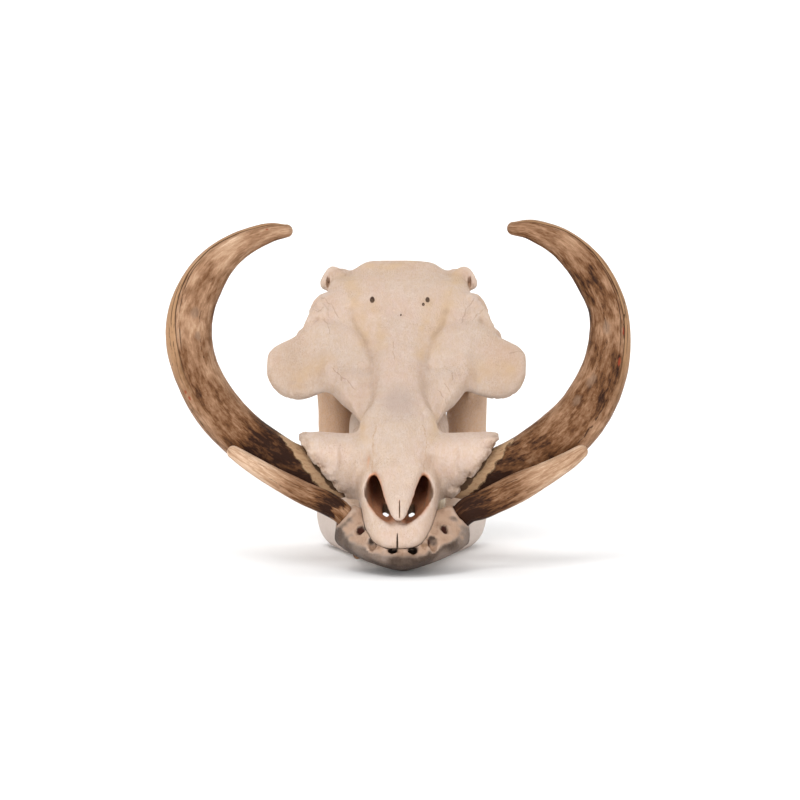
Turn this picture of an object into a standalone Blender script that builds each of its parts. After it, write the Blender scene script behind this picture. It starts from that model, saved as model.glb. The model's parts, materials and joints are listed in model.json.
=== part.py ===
"""A warthog skull with its jaw: cranium, mandible, four tusks and the cheek teeth, resting on the jaw.

The cranium is shaped in its own frame, with the palate level: x to the side, b back from the tip of
the upper jaw, h up from the palate. Tilting that frame nose down by PALATE_TILT and lifting it by
SNOUT_HEIGHT puts it on the jaw, which is shaped where it stands: x to the side, y back, z up from
the table. All sizes are in millimetres until a mesh is made.
"""

import math

import bmesh
import bpy
import numpy as np
from mathutils import Vector

MM = 0.001

# Driving sizes
PALATE_TILT = math.radians(14.5)
SNOUT_HEIGHT = 24.0
JAW_SIDE_SHIFT = 3.0
LEFT_CHEEK_SHORTER = 3.5
GAP = 0.45
ROUGH_GAP = 1.1
FOOT_HEIGHT = 1.0
ORIGIN_SIDE = 0.0
ORIGIN_BACK = 168.0

# Grid sizes, triangle budgets and mesh steps
CRANIUM_VOXEL = 2.4
MANDIBLE_VOXEL = 2.4
CRANIUM_TRIANGLES = 3700
MANDIBLE_TRIANGLES = 1500
UPPER_TUSK_STEPS = 20
LOWER_TUSK_STEPS = 11
TUSK_SIDES = 12

SUPERELLIPSE_ROUND = 2.0
UP = np.array([0.0, 0.0, 1.0])
BACKWARDS = np.array([0.0, 1.0, 0.0])

BONE = ((0.80, 0.68, 0.56), 0.62)
IVORY = ((0.42, 0.29, 0.18), 0.42)
ENAMEL = ((0.74, 0.64, 0.48), 0.40)


def clear_scene():
    for found in list(bpy.data.objects):
        bpy.data.objects.remove(found)


def smooth_rows(rows, count):
    """Rows of numbers read from one smooth curve through the given rows, evenly by row."""
    rows = np.asarray(rows, float)
    before = 2 * rows[0] - rows[1]
    after = 2 * rows[-1] - rows[-2]
    knots = np.vstack([before, rows, after])
    places = np.linspace(0, len(rows) - 1, count)
    start = np.minimum(places.astype(int), len(rows) - 2)
    t = (places - start)[:, None]
    p0, p1, p2, p3 = (knots[start + k] for k in range(4))
    return 0.5 * (
        2 * p1
        + (p2 - p0) * t
        + (2 * p0 - 5 * p1 + 4 * p2 - p3) * t**2
        + (3 * p1 - p0 - 3 * p2 + p3) * t**3
    )


def superellipse(count, power, under=None):
    """Unit points round a superellipse: 2 is an ellipse, more is squarer, and less is more pointed.

    The lower half can have its own power.
    """
    angle = np.linspace(0, 2 * math.pi, count, endpoint=False)
    c, s = np.cos(angle), np.sin(angle)
    bend = 2 / np.where(s < 0, under or power, power)
    return np.stack([np.sign(c) * np.abs(c) ** bend, np.sign(s) * np.abs(s) ** bend], axis=1)


def skin(rings):
    """A closed mesh over equal rings of points, with a point closing each end."""
    rings = np.asarray(rings, float)
    stations, around = rings.shape[:2]
    points = list(rings.reshape(-1, 3)) + [rings[0].mean(0), rings[-1].mean(0)]
    first, last = stations * around, stations * around + 1
    faces = []
    for i in range(around):
        j = (i + 1) % around
        faces.append((first, j, i))
        faces.append((last, (stations - 1) * around + i, (stations - 1) * around + j))
        for s in range(stations - 1):
            a, b = s * around, (s + 1) * around
            faces.append((a + i, a + j, b + j, b + i))
    return np.array(points), faces


def slab(rows, axis, power=2.4, under=None, count=40, around=40):
    """A loft of flat sections across one axis.

    Each row is: place along the axis, low and high on the first other axis, low and high on the second.
    """
    rings = []
    unit = superellipse(around, power, under)
    others = [k for k in range(3) if k != axis]
    for place, low1, high1, low2, high2 in smooth_rows(rows, count):
        ring = np.zeros((around, 3))
        ring[:, axis] = place
        ring[:, others[0]] = (low1 + high1) / 2 + (high1 - low1) / 2 * unit[:, 0]
        ring[:, others[1]] = (low2 + high2) / 2 + (high2 - low2) / 2 * unit[:, 1]
        rings.append(ring)
    return skin(rings)


def across_snout(rows, **how):
    """A loft along b, symmetric in x. Each row is: b, half width, low h, high h."""
    return slab([(b, -w, w, low, high) for b, w, low, high in rows], axis=1, **how)


def sweep(rows, power=SUPERELLIPSE_ROUND, count=32, around=24, up=UP):
    """A tube along a smooth path. Each row is: x, y, z, half width sideways, half height."""
    rows = smooth_rows(rows, count)
    path, wide, high = rows[:, :3], rows[:, 3], rows[:, 4]
    along = np.gradient(path, axis=0)
    along /= np.linalg.norm(along, axis=1)[:, None]
    side = np.cross(along, up)
    side /= np.linalg.norm(side, axis=1)[:, None]
    over = np.cross(side, along)
    unit = superellipse(around, power)
    rings = [
        path[k] + unit[:, :1] * wide[k] * side[k] + unit[:, 1:] * high[k] * over[k]
        for k in range(count)
    ]
    return skin(rings)


def leaf(rows, power=2.8, count=40, around=40):
    """A plate lofted along x. Each row is: x, low b, low h, high b, high h, half thickness."""
    unit = superellipse(around, power)
    rings = []
    for x, low_b, low_h, high_b, high_h, thick in smooth_rows(rows, count):
        low, high = np.array([low_b, low_h]), np.array([high_b, high_h])
        half = (high - low) / 2
        over = np.array([-half[1], half[0]]) / np.linalg.norm(half) * thick
        flat = (low + high) / 2 + unit[:, :1] * half + unit[:, 1:] * over
        rings.append(np.column_stack([np.full(around, x), flat]))
    return skin(rings)


def ball(centre, radii, around=24, count=16):
    """An ellipsoid with its axes along x, y and z."""
    angles = np.linspace(0.08, math.pi - 0.08, count)
    unit = superellipse(around, SUPERELLIPSE_ROUND)
    rings = []
    for a in angles:
        ring = np.zeros((around, 3))
        ring[:, 0] = centre[0] + radii[0] * math.sin(a) * unit[:, 0]
        ring[:, 1] = centre[1] + radii[1] * math.sin(a) * unit[:, 1]
        ring[:, 2] = centre[2] + radii[2] * math.cos(a)
        rings.append(ring)
    return skin(rings)


def mirrored(shape):
    """The same shape on the other side of the skull."""
    points, faces = shape
    return points * (-1, 1, 1), [tuple(reversed(f)) for f in faces]


def both_sides(*shapes):
    return [s for shape in shapes for s in (shape, mirrored(shape))]


def mesh_object(name, shapes):
    """One object holding every given shape, with all faces pointing out."""
    work = bmesh.new()
    for points, faces in shapes:
        part = bmesh.new()
        verts = [part.verts.new(Vector(p) * MM) for p in points]
        for face in faces:
            part.faces.new([verts[k] for k in face])
        bmesh.ops.recalc_face_normals(part, faces=part.faces)
        loose = bpy.data.meshes.new(name)
        part.to_mesh(loose)
        part.free()
        work.from_mesh(loose)
        bpy.data.meshes.remove(loose)
    mesh = bpy.data.meshes.new(name)
    work.to_mesh(mesh)
    work.free()
    made = bpy.data.objects.new(name, mesh)
    bpy.context.scene.collection.objects.link(made)
    return made


def settle(obj):
    """Applies every modifier on an object."""
    graph = bpy.context.evaluated_depsgraph_get()
    graph.update()
    mesh = bpy.data.meshes.new_from_object(obj.evaluated_get(graph))
    obj.modifiers.clear()
    old = obj.data
    obj.data = mesh
    bpy.data.meshes.remove(old)
    return obj


def fuse(obj, voxel, smooth_rounds):
    """Melts overlapping closed shapes into one skin and rounds the joins."""
    melt = obj.modifiers.new("melt", "REMESH")
    melt.mode = "VOXEL"
    melt.voxel_size = voxel * MM
    if smooth_rounds:
        rounding = obj.modifiers.new("rounding", "SMOOTH")
        rounding.factor = 0.5
        rounding.iterations = smooth_rounds
    return settle(obj)


def cut(obj, cutter):
    """Takes one closed mesh out of another."""
    carve = obj.modifiers.new("carve", "BOOLEAN")
    carve.operation = "DIFFERENCE"
    carve.solver = "EXACT"
    carve.object = cutter
    settle(obj)
    bpy.data.objects.remove(cutter)
    return obj


def points_of(obj):
    co = np.empty(len(obj.data.vertices) * 3)
    obj.data.vertices.foreach_get("co", co)
    return co.reshape(-1, 3) / MM


def move_points(obj, points):
    obj.data.vertices.foreach_set("co", (points * MM).ravel())
    obj.data.update()


def normals_of(obj):
    normals = np.empty(len(obj.data.vertices) * 3)
    obj.data.vertex_normals.foreach_get("vector", normals)
    return normals.reshape(-1, 3)


def thin_out(obj, triangles):
    """Lowers a mesh to about this many triangles."""
    obj.data.calc_loop_triangles()
    fewer = obj.modifiers.new("fewer", "DECIMATE")
    fewer.ratio = min(1.0, triangles / len(obj.data.loop_triangles))
    fewer.use_collapse_triangulate = True
    return settle(obj)


def keep_largest(obj):
    """Removes every loose island but the one with the most vertices."""
    work = bmesh.new()
    work.from_mesh(obj.data)
    left = set(work.verts)
    islands = []
    while left:
        stack = [left.pop()]
        island = set(stack)
        while stack:
            for edge in stack.pop().link_edges:
                for v in edge.verts:
                    if v in left:
                        left.remove(v)
                        island.add(v)
                        stack.append(v)
        islands.append(island)
    islands.sort(key=len)
    small = [v for island in islands[:-1] for v in island]
    bmesh.ops.delete(work, geom=small, context="VERTS")
    work.to_mesh(obj.data)
    work.free()
    return obj


def to_table(points):
    """From the cranium's own frame to where it rests on the jaw."""
    c, s = math.cos(PALATE_TILT), math.sin(PALATE_TILT)
    x, b, h = points.T
    return np.stack([x, b * c - h * s, SNOUT_HEIGHT + b * s + h * c], axis=1)


# Cranium

def snout_body():
    return across_snout(
        [
            (1, 9, 1, 7), (5, 15.5, -1, 10), (15, 22, -3, 17), (30, 27, -3, 26),
            (48, 30.5, -3, 37), (62, 32.5, -3, 46), (80, 33.5, -4, 54), (100, 34.5, -5, 61),
            (120, 34.5, -5, 66), (140, 34, -6, 68), (160, 35, -6, 66), (180, 33, -5, 62),
        ],
        power=2.8, count=64,
    )


def upper_jaw():
    """The body that holds the cheek teeth, narrower above."""
    return across_snout(
        [
            (130, 31, -5, 60), (160, 37, -7, 68), (190, 42, -8, 70), (225, 43, -8, 72),
            (250, 38, -6, 74), (275, 30, 14, 76), (300, 26, 34, 80),
        ],
        power=1.9, under=2.8, count=64,
    )


def nasal_bridge():
    return across_snout(
        [
            (12, 4.5, 19.5, 25), (20, 7.5, 21, 30.5), (30, 10.5, 24, 36.5), (48, 15.5, 31, 46),
            (62, 20, 36, 53), (80, 25.5, 40, 60), (100, 31, 43, 66.5), (120, 33.5, 46, 72),
            (140, 30, 50, 77.5), (160, 25, 56, 83), (180, 23.5, 62, 89), (200, 24.5, 68, 95),
            (230, 28, 76, 105), (260, 32, 84, 114.5), (285, 34, 92, 121),
        ],
        power=2.3, count=64,
    )


def nasal_hollow():
    return across_snout(
        [
            (6, 3, 15, 22), (14, 10, 13.5, 34), (25, 18, 11.5, 44), (40, 24, 8, 52), (52, 27, 5, 56),
            (66, 26, 5, 48), (85, 25, 5, 46), (110, 24, 6, 48), (150, 20, 8, 46), (200, 15, 12, 40),
            (250, 13, 12, 30), (275, 12, 4, 28),
        ],
        power=2.2, count=64,
    )


def face_plate():
    return across_snout(
        [
            (135, 28, 46, 62), (150, 33, 50, 68), (165, 40, 54, 75), (180, 50, 58, 82),
            (200, 59, 62, 90), (225, 64, 68, 99), (250, 70, 76, 109), (270, 76, 88, 117.5),
            (290, 71, 100, 127), (310, 65.5, 110, 135), (335, 61, 116, 142), (352, 52, 120, 145),
        ],
        power=3.4, count=56, around=64,
    )


def cheek_plate():
    """The broad cheek bone that spreads sideways in front of and below the eye."""
    return leaf(
        [
            (24, 168, 56, 250, 98, 13), (44, 182, 62, 268, 108, 13), (60, 196, 72, 276, 112, 11),
            (72, 206, 65, 272, 110, 10), (85, 210, 60, 262, 104, 10), (98, 212, 61, 248, 100, 10.5),
            (108, 218, 66, 240, 97, 10), (114, 223, 76, 235, 92, 7),
        ],
    )


def braincase():
    return across_snout(
        [
            (245, 28, 50, 98), (275, 35, 46, 116), (300, 39, 44, 126), (325, 41, 44, 132),
            (345, 40, 48, 136), (354, 34, 56, 138),
        ],
        power=2.3,
    )


def occiput():
    """The back wall, lofted up h: each row is h, half width, front b, back b."""
    rows = [
        (46, 30, 318, 346), (62, 38, 315, 351), (82, 40, 315, 349), (104, 44, 318, 346),
        (126, 52, 324, 350), (140, 57, 334, 357), (145.5, 50, 345, 359.5),
    ]
    return slab([(h, -w, w, front, back) for h, w, front, back in rows], axis=2, power=2.8)


def crest_wing():
    """The ear-like corner of the neck crest."""
    return leaf(
        [
            (38, 330, 108, 354, 137, 7), (50, 336, 113, 348, 139, 5.5), (57, 335, 117, 345, 140, 4.5),
            (62, 334, 120, 341, 140, 3.5),
        ],
    )


def wing_back():
    return ball((62.5, 344, 131), (5.5, 4, 9.5))


def wing_rim():
    return sweep(
        [
            (50, 344, 140, 4, 4), (58, 340, 142.5, 3.2, 3.2), (63, 337, 141, 2.9, 3),
            (66, 335, 136.5, 3, 3.2), (68.2, 333.5, 131.5, 3.4, 3.6), (68.4, 333, 127.5, 3, 3.2),
            (64, 334, 124, 3, 3),
        ],
        up=BACKWARDS,
    )


def cheek_arch():
    return sweep(
        [
            (96, 236, 79, 8, 14), (100, 244, 77, 8.5, 17), (98, 256, 75, 8, 16.5),
            (93, 272, 76, 6.5, 14.5), (86, 292, 81, 6, 12), (78, 312, 90, 6.5, 12),
            (64, 328, 98, 8, 13), (48, 336, 100, 9, 14),
        ],
        power=2.5, count=56,
    )


def eye_rim():
    """The rim round the eye socket, open at the back."""
    return sweep(
        [
            (58, 302, 125, 5.5, 5.5), (66, 294, 126, 4.5, 4.5), (74, 281, 118, 4.5, 4.5),
            (79, 268, 109, 5, 5), (84, 259, 98, 5, 5), (88, 260, 88, 5, 5), (89, 270, 84, 5, 6),
            (87, 284, 84, 5, 6), (84, 295, 87, 4, 5), (81, 300, 93, 2.5, 3),
        ],
        count=48, up=np.array([1.0, 0.0, 0.3]),
    )


def eye_spur():
    return sweep([(60, 304, 122, 6, 8), (68, 303, 122, 5, 7), (75, 303, 114, 3.5, 5), (79, 302, 106, 2, 3)])


def brow():
    return ball((66, 286, 114), (10.5, 17, 9.5))


def eye_hollow():
    return ball((98, 287, 101), (42, 16, 14.5))


def canine_sheath():
    """The bony sleeve over the root of the upper tusk, lofted out along x."""
    rows = [
        (22, 82, 132, 8, 58), (34, 78, 130, 9, 61), (46, 75, 126, 9, 62), (58, 74, 123, 12, 63.5),
        (70, 74, 119, 15, 65), (80, 76, 114, 20, 65.5), (88, 80, 107, 34, 64),
    ]
    return slab([(x, b0, b1, h0, h1) for x, b0, b1, h0, h1 in rows], axis=0, power=2.8)


# The sleeve's slanting mouth, as x and height of its low and high ends
SHEATH_MOUTH_LOW = np.array([38.0, 4.0])
SHEATH_MOUTH_HIGH = np.array([88.0, 70.0])
SHEATH_TRIM_DEPTH = 80.0
SHEATH_TRIM_REACH = (50.0, 150.0)


def sheath_trim():
    """Cuts the sleeve's mouth off on the slant, so that its upper lip reaches furthest."""
    along = SHEATH_MOUTH_HIGH - SHEATH_MOUTH_LOW
    outwards = np.array([along[1], -along[0]]) / np.linalg.norm(along) * SHEATH_TRIM_DEPTH
    outline = [SHEATH_MOUTH_LOW - along * 0.3, SHEATH_MOUTH_HIGH + along * 0.3]
    outline += [outline[1] + outwards, outline[0] + outwards]
    rings = [[(x, b, h) for x, h in outline] for b in SHEATH_TRIM_REACH]
    return skin(rings)


def skull_base():
    return [
        sweep([(0, 262, 42, 14, 12), (0, 300, 46, 14, 11), (0, 348, 52, 14, 10)]),
        *both_sides(
            sweep([(13, 246, 4, 4, 10), (13, 262, 10, 3, 14), (14, 278, 22, 3, 14), (17, 292, 36, 4, 12)]),
            ball((27, 316, 44), (9, 13, 15)),
            sweep([(40, 338, 76, 10, 9), (39, 337, 54, 6, 8), (36, 334, 34, 4, 5.5), (34, 331, 16, 2.5, 3)],
                  up=BACKWARDS),
            ball((17, 351, 61), (11, 11, 14)),
            sweep([(36, 308, 84, 8, 9), (58, 304, 83, 10, 9), (76, 304, 84, 10, 9), (92, 306, 86, 8, 8)],
                  power=2.4),
        ),
    ]


def nose_ridge():
    """The low ridge along the floor of the nose."""
    return sweep([(0, 12, 13, 3, 2.5), (-1, 25, 13, 4, 4), (-1, 42, 11, 4.5, 6), (0, 70, 8, 4, 7)])


def nose_floor_slits():
    return both_sides(ball((10.7, 79, 2), (2.8, 27, 12)))


def gullet():
    """The hollow behind the palate, and the brain's hollow with the hole where the spine enters."""
    return [
        sweep([(0, 236, 14, 11, 9), (0, 262, 16, 11, 12), (0, 290, 14, 11, 16), (0, 310, 6, 12, 18)]),
        sweep([(0, 288, 90, 5, 5), (0, 298, 90, 22, 17), (0, 318, 87, 27, 21), (0, 332, 82, 16, 14),
               (0, 344, 76, 11, 10), (0, 375, 72, 14, 13)]),
    ]


def upper_lip_notch():
    return [sweep([(0, -6, 8, 1.3, 14), (0, 6, 8, 1.2, 12), (0, 15, 12, 0.9, 6)], power=4)]


def forehead_holes():
    return [ball((-23.5, 290, 124), (2.8, 3.4, 8)), ball((25.5, 291, 123), (2.6, 3.0, 8))]


FACE_GROOVES = (
    (5.0, 2.6, ((42, 280), (38, 266), (30, 247), (26, 226), (23, 194), (23, 164), (27, 150))),
    (12.0, 3.0, ((50, 262), (46, 235), (42, 212))),
    (6.0, 3.4, ((31, 206), (30, 188), (33, 168), (37, 150))),
)


def make_cranium():
    shell = mesh_object("cranium", [snout_body(), upper_jaw(), face_plate(), *both_sides(canine_sheath())])
    fuse(shell, CRANIUM_VOXEL, 0)
    cut(shell, mesh_object("hollow", [nasal_hollow()]))
    cut(shell, mesh_object("trim", both_sides(sheath_trim())))
    rest = mesh_object(
        "rest",
        [nasal_bridge(), braincase(), occiput(), *skull_base(),
         nose_ridge(), shifted(cheek_plate(), -LEFT_CHEEK_SHORTER), mirrored(cheek_plate()),
         *both_sides(crest_wing(), wing_back(), wing_rim(), cheek_arch(), eye_rim(),
                     eye_spur(), brow())],
    )
    join = shell.modifiers.new("join", "BOOLEAN")
    join.operation = "UNION"
    join.object = rest
    join.use_self = True
    settle(shell)
    bpy.data.objects.remove(rest)
    fuse(shell, CRANIUM_VOXEL, 4)
    for cutter in (both_sides(eye_hollow()), nose_floor_slits(), gullet(), upper_lip_notch(),
                   forehead_holes()):
        cut(shell, mesh_object("cutter", cutter))
    fuse(shell, CRANIUM_VOXEL, 3)
    keep_largest(shell)
    points = points_of(shell)
    x, b, h = points.T
    side = np.exp(-(((np.abs(x) - 44) / 10) ** 2))
    points[:, 2] -= 8 * side * np.clip((b - 318) / 30, 0, 1) * np.clip((h - 112) / 20, 0, 1)
    upper = np.clip(normals_of(shell)[:, 2] * 2, 0, 1)
    for width, depth, path in FACE_GROOVES:
        points[:, 2] -= depth * upper * np.exp(-((off_path(np.abs(x), b, path) / width) ** 2))
    move_points(shell, to_table(points))
    return shell


def off_path(x, b, path):
    """How far each point lies from a path, seen from above."""
    best = np.full(len(x), 1e9)
    for (x0, b0), (x1, b1) in zip(path, path[1:]):
        run = np.array([x1 - x0, b1 - b0], float)
        t = np.clip(((x - x0) * run[0] + (b - b0) * run[1]) / (run @ run), 0, 1)
        best = np.minimum(best, np.hypot(x - x0 - t * run[0], b - b0 - t * run[1]))
    return best


# Jaw

def jaw_front():
    return across_snout(
        [
            (1, 10, 15, 20), (4, 18, 10, 23), (10, 27, 8, 30), (22, 41, 5, 40), (42, 54, 2, 51),
            (60, 54, 0, 52), (80, 48, 0, 47), (100, 42, 0, 43), (120, 36, 3, 42),
        ],
        power=3.0, under=1.35, count=48, around=48,
    )


def jaw_trough():
    """The spoon-shaped hollow between the front sockets, open to the throat behind."""
    return across_snout(
        [
            (8, 6, 22, 50), (16, 16, 22, 60), (30, 23, 24, 70), (60, 27, 27, 80), (90, 25, 26, 80),
            (105, 20, 16, 80), (120, 16, 6, 80), (140, 15, -20, 80),
        ],
        power=2.6, count=48,
    )


def jaw_body():
    rows = [
        (70, 8, 42, 14, 40), (95, 11, 44, 9, 40), (120, 14, 45, 6, 40), (145, 18, 48, 3.5, 40),
        (170, 20, 55, 1, 44), (200, 22, 64, -0.5, 50), (225, 25, 73, -0.5, 58), (245, 34, 76, 1, 75),
        (262, 42, 77, 6, 100), (275, 48, 77, 14, 100), (285, 52, 74, 30, 90),
    ]
    return slab(rows, axis=1, power=2.5, under=2.2, count=48)


def jaw_branch():
    rows = [
        (50, 44, 74, 228, 284), (75, 41, 74, 234, 287), (100, 39.5, 75, 240, 289),
        (125, 39.5, 76, 247, 291),
        (145, 39.5, 77, 256, 291), (160, 39.5, 79, 264, 290), (169, 41, 78, 271, 287),
    ]
    return slab([(z, x0, x1, y0, y1) for z, x0, x1, y0, y1 in rows], axis=2, power=1.8, count=48)


def jaw_spur():
    return sweep([(60, 262, 125, 5, 12), (60, 254, 145, 4, 9), (61, 250, 158, 3, 6), (61, 250, 166, 2, 4)],
                 up=BACKWARDS)


def jaw_tusk_socket():
    return sweep([(18, 58, 26, 12, 12), (32, 50, 34, 14, 14), (42, 45, 43, 13.5, 12.5),
                  (47, 43.5, 47, 12, 11)],
                 power=2.3, up=BACKWARDS)


def front_tooth_sockets():
    return [
        *both_sides(sweep([(9, 0, 25, 4.4, 3), (7, 14, 20, 4, 2.6), (6, 30, 16, 2.5, 1.6)])),
        *both_sides(ball((24, 12, 29), (4.2, 5, 8)), ball((34, 25, 41), (4.2, 4.6, 9))),
    ]


def make_mandible():
    jaw = mesh_object(
        "mandible",
        [jaw_front(), *both_sides(jaw_body(), jaw_branch(), jaw_spur(), jaw_tusk_socket())],
    )
    fuse(jaw, MANDIBLE_VOXEL, 5)
    for cutter in ([jaw_trough()], front_tooth_sockets()):
        cut(jaw, mesh_object("cutter", cutter))
    fuse(jaw, MANDIBLE_VOXEL, 2)
    keep_largest(jaw)
    points = points_of(jaw)
    points[:, 0] += JAW_SIDE_SHIFT
    move_points(jaw, points)
    return jaw


# Tusks: rows from root to tip, each x, y, z, half width in the plane of the curve, half depth

UPPER_TUSK_LEFT = [
    (40, 92, 72, 14, 13), (60, 86, 74, 18, 15), (80, 82, 78, 20.5, 16), (98, 79, 85, 21.5, 16.5),
    (115, 77, 95, 22, 16.5), (133, 74, 109, 22.3, 16.5), (149, 72, 126, 22, 16.5), (161, 70, 146, 20.7, 16),
    (169, 68, 168, 18.8, 15.5), (172, 67, 191, 17.1, 15), (170, 67, 214, 15.7, 14), (161, 68, 235, 15, 13),
    (148, 70, 254, 13.7, 11.5), (131, 72, 269, 11.6, 9.5), (109, 75, 278, 8.6, 7.5),
    (94, 77, 279.5, 5.6, 5.5),
]
UPPER_TUSK_RIGHT = [
    (40, 92, 72, 14, 13), (60, 86, 74, 18, 15), (80, 82, 79, 20, 16), (96, 79, 86, 20.8, 16.5),
    (111, 77, 96, 20.9, 16.5), (129, 74, 111, 19.9, 16.5), (145, 72, 128, 19.4, 16.5),
    (158, 70, 147, 19.2, 16),
    (167, 68, 168, 18.8, 15.5), (171, 67, 190, 19, 15), (169, 67, 213, 18.6, 14), (160, 68, 235, 17, 13),
    (147, 70, 253, 14.1, 11.5), (128, 72, 267, 11.4, 9.5), (107, 75, 275.5, 8.4, 7.5),
    (92, 77, 277.5, 5.4, 5.5),
]
LOWER_TUSK_LEFT = [
    (34, 67, 15, 6, 6), (41, 54, 32, 7.5, 7.5), (54, 44, 50, 10.3, 8.5), (70, 44, 56.5, 11.3, 9),
    (96, 46, 69.6, 11.5, 9), (118, 48, 80.5, 9.3, 8), (136, 50, 90.5, 7.3, 7), (148, 51.5, 98.5, 5.4, 5),
]
LOWER_TUSK_RIGHT = [
    (32, 67, 14, 6, 6), (37.5, 54, 30, 7, 7), (44.5, 45, 47, 8.5, 8), (58, 44, 57, 9.2, 8.5),
    (78, 45, 65.7, 9, 8.5), (98, 47, 76, 8.2, 8), (118, 49, 88, 6.9, 7), (134, 51, 98, 5.4, 5),
]


def tusk_shape(rows, flip, steps, grow=0.0):
    rows = np.array(rows, float)
    rows[:, 3:] += grow
    if grow:
        heading = rows[0, :3] - rows[1, :3]
        rows[0, :3] += heading / np.linalg.norm(heading) * grow
    rows = smooth_rows(rows, steps)
    tip = rows[-1]
    along = tip[:3] - rows[-2, :3]
    along /= np.linalg.norm(along)
    caps = []
    for turn in np.radians((30, 62)):
        cap = tip.copy()
        cap[:3] += along * tip[3] * math.sin(turn)
        cap[3:] *= math.cos(turn)
        caps.append(cap)
    rows = np.vstack([rows, caps])
    shape = sweep(rows, power=2.3, count=len(rows), around=TUSK_SIDES, up=BACKWARDS)
    return mirrored(shape) if flip else shape


# Cheek teeth: front b, back b, width, columns along the tooth

CHEEK_TEETH = {
    "premolar": (157, 168.5, 12, 1),
    "second_molar": (169.5, 189, 15, 2),
    "third_molar": (190, 240, 16.5, 5),
}
TOOTH_ROW_INNER = 30.5
BITE_HEIGHT = -14.0
UPPER_ROOT = 14.0
LOWER_ROOT = -36.0


TOOTH_SQUARENESS = 3.2
TOOTH_FURROW = 0.13
BITE_EDGE = 1.2
ROOT_SHARE = 0.84
BITE_SHARE = 0.88


def tooth_shape(front, back, width, columns, root, crown, flip, grow=0.0):
    """A tall tooth of joined columns, worn flat, in the palate's frame."""
    unit = superellipse(6 + 3 * columns, TOOTH_SQUARENESS)
    ripple = 1 - TOOTH_FURROW * (0.5 + 0.5 * np.cos(math.pi * columns * (unit[:, 1] + 1)))
    half = np.array([width / 2 + grow, (back - front) / 2 + grow])
    facing = 1 if crown > root else -1
    levels = (
        (root - facing * grow, ROOT_SHARE), (crown - facing * BITE_EDGE, 1.0),
        (crown + facing * grow, BITE_SHARE),
    )
    rings = []
    for h, size in levels:
        ring = np.zeros((len(unit), 3))
        ring[:, 0] = TOOTH_ROW_INNER + unit[:, 0] * ripple * half[0] * size
        ring[:, 1] = (front + back) / 2 + unit[:, 1] * (half[1] * (0.5 + 0.5 * size))
        ring[:, 2] = h
        rings.append(ring)
    points, faces = skin(rings)
    shape = to_table(points), faces
    return mirrored(shape) if flip else shape


def shifted(shape, side):
    points, faces = shape
    return points + (side, 0, 0), faces


def grown(obj, name, amount):
    """A copy of a mesh with its skin pushed out."""
    copy = bpy.data.objects.new(name, obj.data.copy())
    bpy.context.scene.collection.objects.link(copy)
    move_points(copy, points_of(obj) + normals_of(obj) * amount)
    return copy


def block(name, low, high):
    corners = ((low[0], low[1]), (high[0], low[1]), (high[0], high[1]), (low[0], high[1]))
    rings = [[(x, y, z) for x, y in corners] for z in (low[2], high[2])]
    return mesh_object(name, [skin(rings)])


def paint(obj, name, colour, roughness):
    """Gives a piece its own plain material."""
    material = bpy.data.materials.new(name)
    material.use_nodes = True
    shader = material.node_tree.nodes["Principled BSDF"]
    shader.inputs["Base Color"].default_value = (*colour, 1.0)
    shader.inputs["Roughness"].default_value = roughness
    obj.data.materials.clear()
    obj.data.materials.append(material)


def main():
    clear_scene()
    cranium = make_cranium()
    thin_out(cranium, CRANIUM_TRIANGLES)
    mandible = make_mandible()
    cut(mandible, grown(cranium, "rough_space", ROUGH_GAP))
    thin_out(mandible, MANDIBLE_TRIANGLES)
    cut(mandible, block("table", (-200, -50, -50), (200, 400, FOOT_HEIGHT)))
    cut(mandible, grown(cranium, "resting_space", GAP))
    keep_largest(mandible)
    pieces = {}
    for name, rows, flip, host, steps in (
        ("upper_tusk_left", UPPER_TUSK_LEFT, False, cranium, UPPER_TUSK_STEPS),
        ("upper_tusk_right", UPPER_TUSK_RIGHT, True, cranium, UPPER_TUSK_STEPS),
        ("lower_tusk_left", LOWER_TUSK_LEFT, False, mandible, LOWER_TUSK_STEPS),
        ("lower_tusk_right", LOWER_TUSK_RIGHT, True, mandible, LOWER_TUSK_STEPS),
    ):
        pieces[name] = mesh_object(name, [tusk_shape(rows, flip, steps)])
        cut(host, mesh_object("socket", [tusk_shape(rows, flip, steps, GAP)]))
    for tooth, (front, back, width, columns) in CHEEK_TEETH.items():
        for side, flip in (("left", False), ("right", True)):
            for jaw, host, root, crown, move in (
                ("upper", cranium, UPPER_ROOT, BITE_HEIGHT + GAP, 0.0),
                ("lower", mandible, LOWER_ROOT, BITE_HEIGHT - GAP, JAW_SIDE_SHIFT),
            ):
                name = f"{jaw}_{tooth}_{side}"
                how = front, back, width, columns, root, crown, flip
                pieces[name] = mesh_object(name, [shifted(tooth_shape(*how), move)])
                cut(host, mesh_object("socket", [shifted(tooth_shape(*how, GAP), move)]))
    for name, piece in pieces.items():
        colour, roughness = IVORY if "tusk" in name else ENAMEL
        paint(piece, name, colour, roughness)
    for piece in (cranium, mandible):
        paint(piece, piece.name, *BONE)
        pieces[piece.name] = piece
    for piece in pieces.values():
        move_points(piece, points_of(piece) - (ORIGIN_SIDE, ORIGIN_BACK, FOOT_HEIGHT))


main()
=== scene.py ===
"""A dry warthog skull resting on its jaw, with stained tusks: shapes, finishes, light and camera.

The cranium is shaped in its own frame, with the palate level: x to the side, b back from the tip of
the upper jaw, h up from the palate. Sizes are in millimetres until a mesh is made.
"""

import json
import math

import bmesh
import bpy
import numpy as np
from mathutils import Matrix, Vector
from mathutils.bvhtree import BVHTree

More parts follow.
